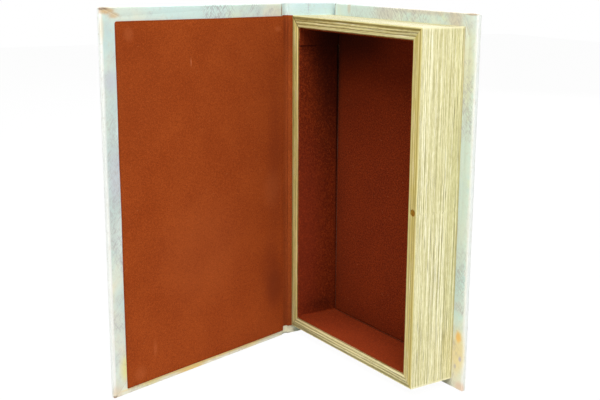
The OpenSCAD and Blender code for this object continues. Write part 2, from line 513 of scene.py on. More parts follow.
class NodeBench:
    """Short calls that lay out the nodes of one material or world."""

    def __init__(self, owner: bpy.types.Material | bpy.types.World) -> None:
        """Turns on the owner's nodes."""
        owner.use_nodes = True
        self.owner, self.tree = owner, owner.node_tree

    @classmethod
    def for_material(cls, name: str) -> "NodeBench":
        """A bench for a new material."""
        return cls(bpy.data.materials.new(name))

    def feed(self, socket: Socket, value: object) -> None:
        """Links a socket into an input, or sets its value.

        Args:
            socket: The input.
            value: A socket or a plain value.
        """
        if isinstance(value, bpy.types.NodeSocket):
            self.tree.links.new(value, socket)
        else:
            socket.default_value = value

    def add(self, kind: str, inputs: dict[str | int, object] | None = None,
            **settings: object) -> bpy.types.Node:
        """Adds a node.

        Args:
            kind: Blender's name of the node, without its ShaderNode.
            inputs: Values or sockets for its inputs.
            **settings: Values of the node itself.

        Returns:
            The node.
        """
        node = self.tree.nodes.new("ShaderNode" + kind)
        for key, value in settings.items():
            setattr(node, key, value)
        for key, value in (inputs or {}).items():
            self.feed(node.inputs[key], value)
        return node

    def attribute(self, name: str) -> Socket:
        """The piece's own vector attribute."""
        return self.add("Attribute", attribute_name=name).outputs["Vector"]

    def object_place(self) -> Socket:
        """Object coordinates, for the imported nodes."""
        return self.add("TexCoord").outputs["Object"]

    def seen_by(self, *kinds: str) -> Socket:
        """One for rays of two kinds, which go by Blender's names."""
        rays = self.add("LightPath").outputs
        return self.calc("MAXIMUM", *(rays[f"Is {kind} Ray"] for kind in kinds))

    def axes(self, vector: Socket) -> tuple[Socket, ...]:
        """The three parts of a vector."""
        return tuple(self.add("SeparateXYZ", {0: vector}).outputs)

    def stretched(self, vector: Socket, sizes: Sequence[float], turn: float = 0, shift: float = 0) -> Socket:
        """Scales coordinates so that a pattern of scale 1 has the given sizes.

        Args:
            vector: The coordinates.
            sizes: Size of the pattern along each axis.
            turn: Angle about Y in degrees, by which the coordinates are turned first.
            shift: Offset that gives another draw of the same pattern.

        Returns:
            The scaled coordinates.
        """
        if turn:
            rotation = (0, math.radians(turn), 0)
            vector = self.add("Mapping", {"Vector": vector, "Rotation": rotation}).outputs[0]
        inputs = {"Vector": vector, "Scale": [1 / size for size in sizes], "Location": (shift, 0, shift)}
        return self.add("Mapping", inputs).outputs[0]

    def grains(self, vector: Socket, size: float = 1, detail: float = 2, rough: float = 0.5,
               warp: float = 0) -> Socket:
        """Noise from 0 to 1: size of its lumps, number and strength of its finer layers, distortion."""
        values = {"Scale": 1 / size, "Detail": detail, "Roughness": rough, "Distortion": warp}
        return self.add("TexNoise", {"Vector": vector, **values}).outputs[0]

    def clouds(self, vector: Socket, size: float, shift: float, rough: float = 0.5,
               warp: float = 0.5) -> Socket:
        """Soft clouds of a size, drawn anew for each shift."""
        return self.grains(self.stretched(vector, (1, 1, 1), shift=shift), size, 3, rough, warp)

    def calc(self, operation: str, *values: object) -> Socket:
        """An operation on numbers."""
        return self.add("Math", dict(enumerate(values)), operation=operation).outputs[0]

    def calc_vector(self, operation: str, *values: object) -> Socket:
        """An operation on vectors, whose length and dot product are numbers."""
        node = self.add("VectorMath", dict(enumerate(values)), operation=operation)
        return node.outputs["Value" if operation in ("LENGTH", "DOT_PRODUCT") else "Vector"]

    def product(self, *factors: object) -> object:
        """The product of one or more numbers."""
        return reduce(lambda first, second: self.calc("MULTIPLY", first, second), factors)

    def weighted(self, *parts: tuple[Socket, float]) -> Socket:
        """The sum of numbers, each times its weight."""
        return reduce(lambda first, second: self.calc("ADD", first, second),
                      [self.product(*part) for part in parts])

    def level(self, value: Socket, low: float, high: float, start: float = 0, stop: float = 1) -> Socket:
        """Eases a value from start to stop as it passes from low to high."""
        inputs = {0: value, 1: low, 2: high, 3: start, 4: stop}
        return self.add("MapRange", inputs, interpolation_type="SMOOTHSTEP").outputs[0]

    def band(self, value: Socket, centre: float, inner: float, outer: float, strength: float = 1) -> Socket:
        """The strength where a value is near a centre, easing to zero between two distances from it."""
        away = self.calc("ABSOLUTE", self.calc("SUBTRACT", value, centre))
        return self.level(away, inner, outer, strength, 0)

    def mix(self, share: object, first: object, second: object, blend: str = "MIX") -> Socket:
        """Mixes two colours."""
        inputs = {0: share, 6: first, 7: second}
        return self.add("Mix", inputs, data_type="RGBA", blend_type=blend).outputs[2]

    def tint(self, colour: Socket, other: object, *factors: object) -> Socket:
        """Mixes a colour with another one by the product of some factors."""
        return self.mix(self.product(*factors), colour, other)

    def coats(self, colour: Socket, *coats: tuple[Socket, float, float, float, float, Colour]) -> Socket:
        """Lays coats of other colours over a colour.

        Args:
            colour: The colour.
            *coats: For each, what level() takes for its strength, and its colour.

        Returns:
            The colour under its coats.
        """
        for *easing, other in coats:
            colour = self.mix(self.level(*easing), colour, other)
        return colour

    def ramp(self, value: Socket, *stops: tuple[float, Colour]) -> Socket:
        """A colour for each value, eased between stops.

        Args:
            value: The value.
            *stops: Positions and colours, in order.

        Returns:
            The colour.
        """
        node = self.add("ValToRGB", {0: value})
        elements = node.color_ramp.elements
        for element, stop in zip(elements, (stops[0], stops[-1])):
            element.position, element.color = stop
        for position, colour in stops[1:-1]:
            elements.new(position).color = colour
        return node.outputs[0]

    def spot(self, vector: Socket, mark: Mark, soft: float = 0.2) -> Socket:
        """One inside a mark, easing to zero at its edge.

        Args:
            vector: The coordinates.
            mark: The mark.
            soft: Share of its reach at which the easing starts.

        Returns:
            The factor.
        """
        away = self.calc_vector("SUBTRACT", vector, Vector(mark.place) * MM)
        scaled = self.calc_vector("DIVIDE", away, Vector(mark.reach) * MM)
        return self.level(self.calc_vector("LENGTH", scaled), soft, 1, 1, 0)

    def line(self, vector: Socket, start: Vector, stop: Vector, width: float) -> Socket:
        """One on a straight line between two points, easing to zero at half its width.

        Args:
            vector: The coordinates.
            start: One end.
            stop: The other end.
            width: Width of the line.

        Returns:
            The factor.
        """
        step = stop - start
        away = self.calc_vector("SUBTRACT", vector, start)
        share = self.calc_vector("DOT_PRODUCT", away, step / step.length_squared)
        nearest = self.add("VectorMath", {0: step, "Scale": self.add("Clamp", {0: share}).outputs[0]},
                           operation="SCALE").outputs[0]
        length = self.calc_vector("LENGTH", self.calc_vector("SUBTRACT", away, nearest))
        return self.level(length, 0.15 * width, 0.5 * width, 1, 0)

    def bump(self, height: Socket, strength: float, depth: float) -> Socket:
        """A normal from a height from 0 to 1, by the strength of the relief and its depth in metres."""
        return self.add("Bump", {"Height": height, "Strength": strength, "Distance": depth}).outputs[0]

    def dress(self, **sockets: object) -> bpy.types.Material:
        """Sets the Principled shader's inputs.

        Args:
            **sockets: Values by the inputs' names, with underscores for spaces.

        Returns:
            The material.
        """
        for key, value in sockets.items():
            self.feed(self.tree.nodes["Principled BSDF"].inputs[key.replace("_", " ")], value)
        return self.owner


@dataclass(frozen=True)
class FeltFinish:
    """Glued rust felt: short wool flock, cloudy in colour, with lint and rubbed places, and with painted shade
    and painted light from its marks and its outline.
    """

    name: str
    colour: Colour = rgb(178, 80, 27)
    deep: Colour = rgb(166, 71, 22)
    dark: Colour = rgb(88, 30, 6)
    bright: Colour = rgb(216, 116, 54)
    lint: Colour = rgb(206, 138, 86)
    sheen: Colour = rgb(214, 120, 60)
    mottle: float = 0.16
    marks: tuple[Mark, ...] = ()
    outline: Extent | None = None

    def material(self) -> bpy.types.Material:
        """Builds the felt's material.

        Returns:
            The material, which reads the attribute of shut places.
        """
        bench = NodeBench.for_material(self.name)
        place = bench.attribute(PLACE)
        clouds = bench.grains(place, 34 * MM, 3, 0.5, 0.3)
        tufts = bench.grains(place, 1.15 * MM, 2, 0.6)
        flock = bench.grains(place, 0.5 * MM, 2, 0.7)
        hairs = bench.grains(bench.stretched(place, (0.5 * MM, 0.5 * MM, 3 * MM), turn=57), 1, 1, 0.5, 1.5)
        lumps = bench.grains(place, 2.2 * MM, 2, 0.5)
        colour = bench.mix(bench.level(clouds, 0.25, 0.75), self.deep, self.colour)
        colour = bench.coats(colour, (tufts, 0.3, 0.7, self.mottle, 0, self.dark),
                             (tufts, 0.5, 0.8, 0, self.mottle, self.bright),
                             (flock, 0.32, 0.7, 0.5, 0, self.dark),
                             (flock, 0.58, 0.85, 0, 0.42, self.bright),
                             (hairs, 0.74, 0.82, 0, 0.5, self.lint))
        # Painted shade along the felt's cut edges.
        if self.outline is not None:
            colour = bench.mix(self.edge_painted_shade(bench, place), colour, self.dark)
        broken = bench.level(flock, 0.25, 0.6, 0.45, 1)
        # The marks hold lint and rubbed places, and also patches of painted shade and painted light.
        for mark in self.marks:
            colour = bench.tint(colour, mark.colour, bench.spot(place, mark), broken, mark.share)
        normal = bench.bump(bench.weighted((flock, 0.7), (lumps, 0.6)), 0.55, 0.35 * MM)
        return bench.dress(Base_Color=colour, Roughness=0.95, Normal=normal, Specular_IOR_Level=0.1,
                           Sheen_Weight=0.18, Sheen_Roughness=0.45, Sheen_Tint=self.sheen)

    def edge_painted_shade(self, bench: NodeBench, place: Socket) -> Socket:
        """Painted shade in a faint line along the panel's cut edges at fore edge, head and tail, easing to zero
        inside them.

        Args:
            bench: The material's nodes.
            place: The coordinates.

        Returns:
            The factor.
        """
        lo, hi = self.outline.lo, self.outline.hi
        x, _, z = bench.axes(place)
        ends = bench.calc("MINIMUM", bench.calc("SUBTRACT", z, lo.z), bench.calc("SUBTRACT", hi.z, z))
        nearest = bench.calc("MINIMUM", bench.calc("SUBTRACT", hi.x, x), ends)
        return bench.level(nearest, 0.3 * MM, 1.2 * MM, 0.3, 0)


@dataclass(frozen=True)
class CoverPrintFinish:
    """Covering paper printed with a soft watercolour wash, aged tan at its edges and corners, with painted
    shade in some of its marks and a painted highlight and shade beside each seam.
    """

    board: Extent
    inner_faces: tuple[float, float]
    marks: tuple[Mark, ...]
    hatching: tuple[Mark, ...]
    seams: tuple[Seam, ...]
    ink: Colour = rgb(160, 152, 154)

    def wash(self, bench: NodeBench, place: Socket) -> Socket:
        """The printed wash: pale aqua and cream clouds, grey drifts and ochre blooms.

        Args:
            bench: The material's nodes.
            place: The coordinates.

        Returns:
            The colour.
        """
        clouds = bench.grains(place, 46 * MM, 4, 0.55, 0.6)
        colour = bench.ramp(clouds, (0.32, rgb(190, 216, 214)), (0.45, rgb(204, 226, 218)),
                            (0.56, rgb(220, 231, 216)), (0.68, rgb(232, 230, 206)))
        tints = bench.clouds(place, 30 * MM, 7.3, 0.5, 0.4)
        drifts = bench.clouds(place, 30 * MM, 1.9, 0.6, 0.8)
        blooms = bench.clouds(place, 40 * MM, 3.1)
        return bench.coats(colour, (tints, 0.56, 0.7, 0, 0.6, rgb(232, 234, 182)),
                           (drifts, 0.46, 0.68, 0, 0.5, rgb(204, 204, 196)),
                           (blooms, 0.6, 0.72, 0, 0.7, rgb(240, 220, 166)),
                           (blooms, 0.68, 0.76, 0, 0.7, rgb(234, 190, 116)))

    def brushwork(self, bench: NodeBench, place: Socket, colour: Socket) -> Socket:
        """Short crossed strokes of grey-lilac, in drifts of their own and at the places given.

        Args:
            bench: The material's nodes.
            place: The coordinates.
            colour: The colour so far.

        Returns:
            The colour with its strokes.
        """
        drifts = bench.level(bench.clouds(place, 30 * MM, 1.9, 0.6, 0.8), 0.5, 0.68, 0.04, 0.5)
        for mark in self.hatching:
            spot = bench.level(bench.spot(place, mark), 0.0, 0.8, 0, mark.share)
            drifts = bench.calc("MAXIMUM", drifts, spot)
        strokes = bench.grains(bench.stretched(place, (0.7 * MM, 3 * MM, 4.5 * MM), turn=38), 1, 2, 0.6, 0.7)
        crossed = bench.grains(bench.stretched(place, (0.75 * MM, 3 * MM, 5 * MM), turn=-30), 1, 2, 0.6, 0.7)
        both = bench.calc("MAXIMUM", bench.level(strokes, 0.5, 0.62), bench.level(crossed, 0.53, 0.65))
        from_fore = bench.calc("SUBTRACT", self.board.hi.x, bench.axes(place)[0])
        return bench.tint(colour, self.ink, both, bench.level(from_fore, 1.2 * MM, 2.4 * MM, 0.15, 1), drifts)

    def edge_wear(self, bench: NodeBench, place: Socket, colour: Socket) -> Socket:
        """Ageing along the folds: tan at head and tail, thin at the fore edge and paler on the edge itself.

        Args:
            bench: The material's nodes.
            place: The coordinates.
            colour: The colour so far.

        Returns:
            The colour with its worn edges.
        """
        edge, head = self.board.hi.x, self.board.hi.z
        x, y, z = bench.axes(place)
        fore = bench.calc("SUBTRACT", edge, x)
        ends = bench.calc("MINIMUM", bench.calc("SUBTRACT", head, z), z)
        ragged = bench.grains(place, 6 * MM, 4, 0.65)
        depth = bench.level(ragged, 0.35, 0.75, 0, 2.6 * MM)
        on_back = bench.level(y, -30 * MM, -20 * MM)
        pale = bench.product(bench.level(bench.calc("SUBTRACT", fore, depth), 0, 1.8 * MM, 0.85, 0), on_back)
        pale = bench.calc("MAXIMUM", pale, bench.level(fore, 0.9 * MM, 2.2 * MM, 0.9, 0))
        worn = bench.mix(on_back, rgb(244, 246, 242), rgb(232, 235, 230))
        broad = bench.calc("SUBTRACT", ends, depth)
        colour = bench.coats(colour, (broad, 0, 2.2 * MM, 0.4, 0, rgb(224, 228, 212)))
        colour = bench.mix(pale, colour, worn)
        rubbed = bench.calc("SUBTRACT", ends, bench.product(depth, 0.25))
        colour = bench.coats(colour, (rubbed, 0.05 * MM, 0.6 * MM, 0.6, 0, rgb(234, 234, 220)))
        for inner_y in self.inner_faces:
            fold = bench.line(place, Vector((edge, inner_y, 0)), Vector((edge, inner_y, head)), 2.6 * MM)
            colour = bench.tint(colour, rgb(228, 224, 206), fold, bench.level(ragged, 0.2, 0.6, 0.05, 0.3))
        return colour

    def material(self) -> bpy.types.Material:
        """Builds the covering paper's material.

        Returns:
            The material, which reads the attribute of shut places.
        """
        bench = NodeBench.for_material("cover_print_paper")
        place = bench.attribute(PLACE)
        colour = self.edge_wear(bench, place, self.wash(bench, place))
        ragged = bench.grains(place, 2.6 * MM, 3, 0.6)
        for mark in self.marks:
            edge = bench.level(bench.weighted((bench.spot(place, mark, 0.1), 1), (ragged, 0.3)), 0.15, 1.15)
            colour = bench.tint(colour, mark.colour, edge, mark.share)
        colour = self.brushwork(bench, place, colour)
        # Beside each seam, a pale line and a dark line: partly worn cream paper, partly painted highlight and
        # painted shade of the step where one turn-in lies over the other.
        for start, stop in self.seams:
            for offset, width, other in ((0.35, 1.1, rgb(238, 228, 200)), (-0.35, 0.7, rgb(160, 144, 116))):
                across = Vector((offset * MM, 0, 0))
                crease = bench.line(place, start + across, stop + across, width * MM)
                colour = bench.tint(colour, other, crease, 0.3)
        fibres = bench.grains(place, 0.5 * MM, 3, 0.6)
        cockle = bench.grains(place, 14 * MM, 2, 0.5)
        colour = bench.coats(colour, (fibres, 0.35, 0.7, 0.09, 0, rgb(150, 150, 140)))
        normal = bench.bump(bench.weighted((fibres, 0.25), (cockle, 1)), 0.3, 0.25 * MM)
        rough = bench.level(ragged, 0.2, 0.8, 0.48, 0.62)
        return bench.dress(Base_Color=colour, Roughness=rough, Normal=normal, Specular_IOR_Level=0.35)


@dataclass(frozen=True)
class PagePrintFinish:
    """Paper printed like the edges of many pages, with worn folds, painted highlight along its folds, and
    painted shade at the rim's inner edge, along the side's back edge and on the head strip's side.

    Its attribute runs along the strip in X. In Y it is zero at the fold, positive down the tray's side and
    negative across the rim. Z is the distance from the strip's start, or minus the distance from its other
    end where that is nearer.
    """

    name: str
    rim_w: float
    side_d: float
    base: Colour
    dark: Colour
    pale: Colour
    side_painted_shade: Colour
    mitres: tuple[float, float]
    draw: float

    def lines(self, bench: NodeBench, place: Socket, spacing: float, length: float,
              warp: float = 0) -> Socket:
        """Noise drawn out along the strip, by its sizes across and along it in mm and how far it wanders."""
        spread = bench.stretched(place, (length * MM, spacing * MM, length * MM), shift=self.draw + spacing)
        return bench.grains(spread, 1, 2, 0.6, warp)

    def print_pages(self, bench: NodeBench, flat: Socket, broken: Socket) -> tuple[Socket, Socket]:
        """The printed page edges: side and rim, with stray lines over both.

        Args:
            bench: The material's nodes.
            flat: The strip's coordinates.
            broken: A factor that breaks lines up.

        Returns:
            Their colour and their tone.
        """
        along, across, _ = bench.axes(flat)
        wander = bench.grains(bench.stretched(flat, (90 * MM, 20 * MM, 90 * MM), shift=self.draw), 1, 2)
        moved = bench.weighted((across, 1), (wander, 0.8 * MM))
        place = bench.add("CombineXYZ", {0: along, 1: moved, 2: 0.0}).outputs[0]
        layers = ((2.6, 300, 0.05, 0.12), (0.85, 170, 0.05, 0.5), (0.5, 30, 0.15, 0.2), (0.7, 4, 0, 0.18))
        tone = bench.weighted(*((self.lines(bench, place, *layer[:3]), layer[3]) for layer in layers))
        side = bench.ramp(tone, (0.4, rgb(168, 159, 104)), (0.455, rgb(200, 192, 138)),
                          (0.5, rgb(214, 208, 156)), (0.545, rgb(229, 223, 176)), (0.6, rgb(250, 247, 222)))
        # Painted shade: the side's colour is multiplied darker on the head strip's upward face, which takes the
        # most light.
        side = bench.mix(1.0, side, self.side_painted_shade, "MULTIPLY")
        rim = bench.ramp(tone, (0.41, self.dark), (0.5, self.base), (0.59, self.pale))
        wave = bench.calc("SINE", bench.product(moved, 2 * math.pi / (2.1 * MM)))
        fading = bench.level(self.lines(bench, place, 2.6, 50), 0.3, 0.6, 0.4, 1)
        rim = bench.tint(rim, self.dark, bench.level(wave, 0.3, 0.9, 0, 0.7), fading)
        rim = bench.tint(rim, self.pale, bench.level(wave, -0.95, -0.3, 0.5, 0), fading)
        colour = bench.mix(bench.level(across, -0.3 * MM, 0.2 * MM), rim, side)
        for spacing, reach, other in ((2.1, 0.024, rgb(132, 122, 76)), (1.3, 0.018, rgb(250, 246, 214))):
            contour = bench.band(self.lines(bench, place, spacing, 160, 0.2), 0.5, 0.2 * reach, reach, 0.75)
            colour = bench.tint(colour, other, contour, broken)
        return colour, tone

    def material(self) -> bpy.types.Material:
        """Builds the page-edge paper's material.

        Returns:
            The material, which reads the attribute of places on the strip.
        """
        bench = NodeBench.for_material(self.name)
        flat = bench.attribute(STRIP)
        _, across, from_start = bench.axes(flat)
        end = bench.calc("ABSOLUTE", from_start)
        broken = bench.level(bench.grains(bench.stretched(flat, (30 * MM, 2 * MM, 30 * MM)), 1, 2), 0.35, 0.6)
        colour, tone = self.print_pages(bench, flat, broken)
        colour = self.fold_wear_and_painted_light(bench, flat, across, end, colour)
        strength = bench.level(from_start, -0.1 * MM, 0.1 * MM, self.mitres[1], self.mitres[0])
        joint = bench.band(bench.calc("ADD", end, across), 0, 0.25 * MM, 0.95 * MM)
        on_rim = bench.level(across, -0.9 * MM, -0.3 * MM, 1, 0)
        worn = bench.calc("MAXIMUM", broken, 0.6)
        colour = bench.tint(colour, rgb(84, 60, 28), joint, on_rim, worn, strength)
        # Painted shade along the side's back edge, where it meets the back board's wrap.
        foot = (across, self.side_d - 1.8 * MM, self.side_d - 0.4 * MM, 0, 0.55, rgb(166, 146, 86))
        paper = bench.grains(flat, 0.4 * MM, 2, 0.6)
        normal = bench.bump(bench.weighted((tone, 1), (paper, 0.2)), 0.35, 0.2 * MM)
        return bench.dress(Base_Color=bench.coats(colour, foot), Roughness=0.56, Normal=normal,
                           Specular_IOR_Level=0.3)

    def fold_wear_and_painted_light(self, bench: NodeBench, flat: Socket, across: Socket, end: Socket,
                  colour: Socket) -> Socket:
        """Pale folds at the rim's two edges, which are rubbed paper and also painted highlight, painted
        golden-brown shade along its inner edge beside the felt, and ragged light ends.

        Args:
            bench: The material's nodes.
            flat: The strip's coordinates.
            across: Distance from the fold.
            end: Distance from the nearer end of the strip.
            colour: The colour so far.

        Returns:
            The colour with its worn folds and their painted highlight and shade.
        """
        ragged = bench.product(bench.grains(flat, 5 * MM, 3, 0.6), 0.7 * MM)

        def rubbed(fold: float, inner: float, outer: float, strength: float) -> Socket:
            """Where the paper is rubbed pale along a fold, which also stands for the fold's painted highlight.
            """
            away = bench.calc("ADD", bench.calc("ABSOLUTE", bench.calc("SUBTRACT", across, fold)), ragged)
            return bench.level(away, inner * MM, outer * MM, strength, 0)

        # Pale along both folds: rubbed paper, and painted highlight on the folds.
        pale = bench.calc("MAXIMUM", rubbed(-0.3 * MM, 0.4, 1.0, 0.9),
                          rubbed(1.2 * MM - self.rim_w, 0.5, 1.2, 0.95))
        colour = bench.mix(bench.band(across, -1.5 * MM, 0.3 * MM, 0.8 * MM, 0.7), colour, self.dark)
        colour = bench.mix(pale, colour, self.pale)
        # Painted golden-brown shade along the rim's inner edge, where the paper turns down beside the felt.
        colour = bench.coats(colour, (across, 0.3 * MM - self.rim_w, 0.8 * MM - self.rim_w, 0.85, 0,
                                      rgb(128, 92, 34)))
        near_end = bench.level(bench.calc("ADD", end, ragged), 0.6 * MM, 2.2 * MM, 0.85, 0)
        return bench.tint(colour, rgb(240, 234, 196), bench.level(across, 0, 0.6 * MM), near_end)


@dataclass(frozen=True)
class GreyboardFinish:
    """Pressed grey board with flecks of paper fibre."""

    def material(self) -> bpy.types.Material:
        """Builds the greyboard's material.

        Returns:
            The material.
        """
        bench = NodeBench.for_material("greyboard_fibre")
        place = bench.object_place()
        fibres = bench.grains(place, 0.9 * MM, 4, 0.7)
        colour = bench.ramp(fibres, (0.3, rgb(112, 104, 90)), (0.5, rgb(141, 132, 118)),
                            (0.7, rgb(170, 162, 148)))
        flecks = bench.grains(bench.stretched(place, (0.6 * MM, 0.6 * MM, 2.5 * MM)), 1, 1)
        colour = bench.coats(colour, (flecks, 0.7, 0.78, 0, 0.7, rgb(78, 74, 70)))
        return bench.dress(Base_Color=colour, Roughness=0.92, Normal=bench.bump(fibres, 0.4, 0.2 * MM))


@dataclass(frozen=True)
class WoodFinish:
    """Bare sawn wood of the tray's walls."""

    grain: Grain

    def material(self) -> bpy.types.Material:
        """Builds the wood's material.

        Returns:
            The material, with its grain along the wall.
        """
        bench = NodeBench.for_material(f"bare_wood_{self.grain.name.lower()}")
        place = bench.object_place()
        rings = bench.grains(bench.stretched(place, self.grain.value), 1, 3, 0.6, 0.4)
        colour = bench.ramp(rings, (0.3, rgb(146, 108, 62)), (0.5, rgb(186, 148, 96)),
                            (0.7, rgb(208, 176, 126)))
        pores = bench.grains(bench.stretched(place, [size / 4 for size in self.grain.value]), 1, 1)
        colour = bench.coats(colour, (pores, 0.68, 0.78, 0, 0.6, rgb(96, 66, 36)))
        return bench.dress(Base_Color=colour, Roughness=0.7, Normal=bench.bump(rings, 0.35, 0.15 * MM))


@dataclass(frozen=True)
class MetalFinish:
    """Small turned metal pieces: the dull gilt magnet and the steel disc."""

    name: str
    bright: Colour
    dull: Colour
    metallic: float
    roughness: float

    def material(self) -> bpy.types.Material:
        """Builds the metal's material.

        Returns:
            The material, with fine scratches and tarnish.
        """
        bench = NodeBench.for_material(self.name)
        place = bench.object_place()
        tarnish = bench.level(bench.grains(place, 1.1 * MM, 4, 0.6), 0.35, 0.65)
        scratches = bench.grains(bench.stretched(place, (0.08 * MM, 0.08 * MM, 1.5 * MM), turn=40), 1, 2)
        rough = bench.level(scratches, 0.3, 0.7, self.roughness - 0.1, self.roughness + 0.15)
        return bench.dress(Base_Color=bench.mix(tarnish, self.dull, self.bright), Metallic=self.metallic,
                           Roughness=rough, Normal=bench.bump(scratches, 0.2, 0.03 * MM))


# The printed case


@dataclass
class BoardWrap:
    """Covering paper of one board: an outer face folded over fore edge, head and tail onto the inner face."""

    name: str
    extent: Extent
    inner_y: float
    paper_t: float
    turn_in: float = 15 * MM
    edge_r: float = 0.8 * MM
    seam_w: float = 0.5 * MM
    seam_d: float = 0.14 * MM
    seams: tuple[Seam, ...] = ()

    def is_fold(self, corners: Corners) -> bool:
        """Whether an edge lies on two outer planes of the wrap, other than at the hinge edge."""
        return sides_met(self.extent, corners) >= 2 and not all_at(0, self.extent.lo.x)(corners)

    def on_bare_board(self, corners: Corners) -> bool:
        """Whether a face lies on the part of the inner face that the turn-ins leave bare.

        Args:
            corners: The face's corners.

        Returns:
            The answer.
        """
        lo, hi = self.extent.lo, self.extent.hi
        return all(
            near(c.y, self.inner_y)
            and c.x < hi.x - self.turn_in + TOUCH
            and lo.z + self.turn_in - TOUCH < c.z < hi.z - self.turn_in + TOUCH
            for c in corners
        )

    def score_seam(self, piece: Piece, start: Vector, stop: Vector) -> None:
        """Presses a fine crease into the inner face where two turn-ins meet.

        Args:
            piece: The wrap.
            start: End of the seam at the board's edge.
            stop: End of the seam inside.
        """
        mid = (start + stop) / 2
        reach = self.turn_in + TOUCH

        def in_corner(corners: Corners) -> bool:
            """Whether a face is part of the inner face round the seam."""
            return all(near(c.y, self.inner_y) and abs(c.x - mid.x) < 1.2 * reach and abs(c.z - mid.z) < reach
                       for c in corners)

        step = stop - start
        across = Vector((step.z, 0, -step.x)).normalized()
        with editing(piece):
            if not pick(piece, Part.FACE, in_corner):
                return
            bpy.ops.mesh.bisect(plane_co=start, plane_no=across)

            def on_seam(corners: Corners) -> bool:
                """Whether an edge lies on the seam."""
                return all(near(c.y, self.inner_y) and abs((c - start).dot(across)) < TOUCH for c in corners)

            for side in (-self.seam_w / 2, self.seam_w / 2):
                pick(piece, Part.FACE, in_corner)
                bpy.ops.mesh.bisect(plane_co=start + side * across, plane_no=across)
            sink = self.seam_d if self.inner_y < self.extent.mid.y else -self.seam_d
            if pick(piece, Part.EDGE, on_seam):
                bpy.ops.transform.translate(value=(0, sink, 0))

    def build(self) -> Piece:
        """Models the wrap as a block whose hinge edge and inner panel are open.

        Returns:
            The wrap, in its shut place.
        """
        piece = start_block(self.name, self.extent)
        lo, hi = self.extent.lo, self.extent.hi
        with editing(piece):
            pick(piece, Part.FACE, all_at(0, lo.x))
            bpy.ops.mesh.delete(type="FACE")
            cut_across(0, hi.x - self.turn_in)
            cut_across(2, lo.z + self.turn_in, hi.z - self.turn_in)
            pick(piece, Part.FACE, self.on_bare_board)
            bpy.ops.mesh.delete(type="FACE")
        round_folds(piece, self.is_fold, self.edge_r, 5)
        for start, stop in self.seams:
            self.score_seam(piece, start, stop)
        thicken(piece, self.paper_t, outwards=False)
        smooth(piece)
        return piece


@dataclass
class Spine:
    """The spine's covering paper and the pressed groove of the back joint."""

    extent: Extent
    groove_x: float
    paper_t: float
    turn_in: float = 15 * MM
    edge_r: float = 0.9 * MM
    end_r: float = 0.4 * MM
    groove_d: float = 1 * MM
    arc_steps: int = 8

    def build_wrap(self) -> Piece:
        """Models the paper round the spine's board.

        Returns:
            The wrap, open on the inner side and in front, apart from the turned-in bands at head and tail.
        """
        piece = start_block("spine_wrap", self.extent)
        lo, hi = self.extent.lo, self.extent.hi

        def bare(corners: Corners) -> bool:
            """Whether a face is the front end, or on the inner side between the turned-in bands.

            Args:
                corners: The face's corners.

            Returns:
                The answer.
            """
            low, high = lo.z + self.turn_in - TOUCH, hi.z - self.turn_in + TOUCH
            inside = all(near(c.x, hi.x) and low < c.z < high for c in corners)
            return inside or all_at(1, lo.y)(corners)

        def at_corner(corners: Corners) -> bool:
            """Whether an edge is the upright one at the spine's outer back corner."""
            return all_at(0, lo.x)(corners) and all_at(1, hi.y)(corners)

        def at_end(corners: Corners) -> bool:
            """Whether an edge is one of those at head and tail that run from front to back."""
            return sides_met(self.extent, corners) >= 2 and runs_along(corners, 1)

        with editing(piece):
            cut_across(2, lo.z + self.turn_in, hi.z - self.turn_in)
            pick(piece, Part.FACE, bare)
            bpy.ops.mesh.delete(type="FACE")
        round_folds(piece, at_corner, self.edge_r)
        round_folds(piece, at_end, self.end_r, 3)
        thicken(piece, self.paper_t, outwards=False)
        smooth(piece)
        return piece

    def build_groove(self) -> Piece:
        """Models the paper pressed into the joint between the spine and the back board.

        Returns:
            The groove, a shallow arc across the joint.
        """
        start_x, back_y = self.extent.hi.x, self.extent.hi.y
        half = (self.groove_x - start_x) / 2
        arc = [math.pi * step / self.arc_steps for step in range(self.arc_steps + 1)]
        walk = [Vector((start_x + half * (1 - math.cos(a)), back_y - self.groove_d * math.sin(a) ** 0.8, 0))
                for a in arc]
        walk[0].y = walk[-1].y = back_y - 0.02 * MM
        piece = start_sheet("joint_paper", walk, Vector((0, 0, self.extent.hi.z)), Vector((0, 1, 0)))
        thicken(piece, self.paper_t, outwards=False)
        smooth(piece, 60)
        return piece


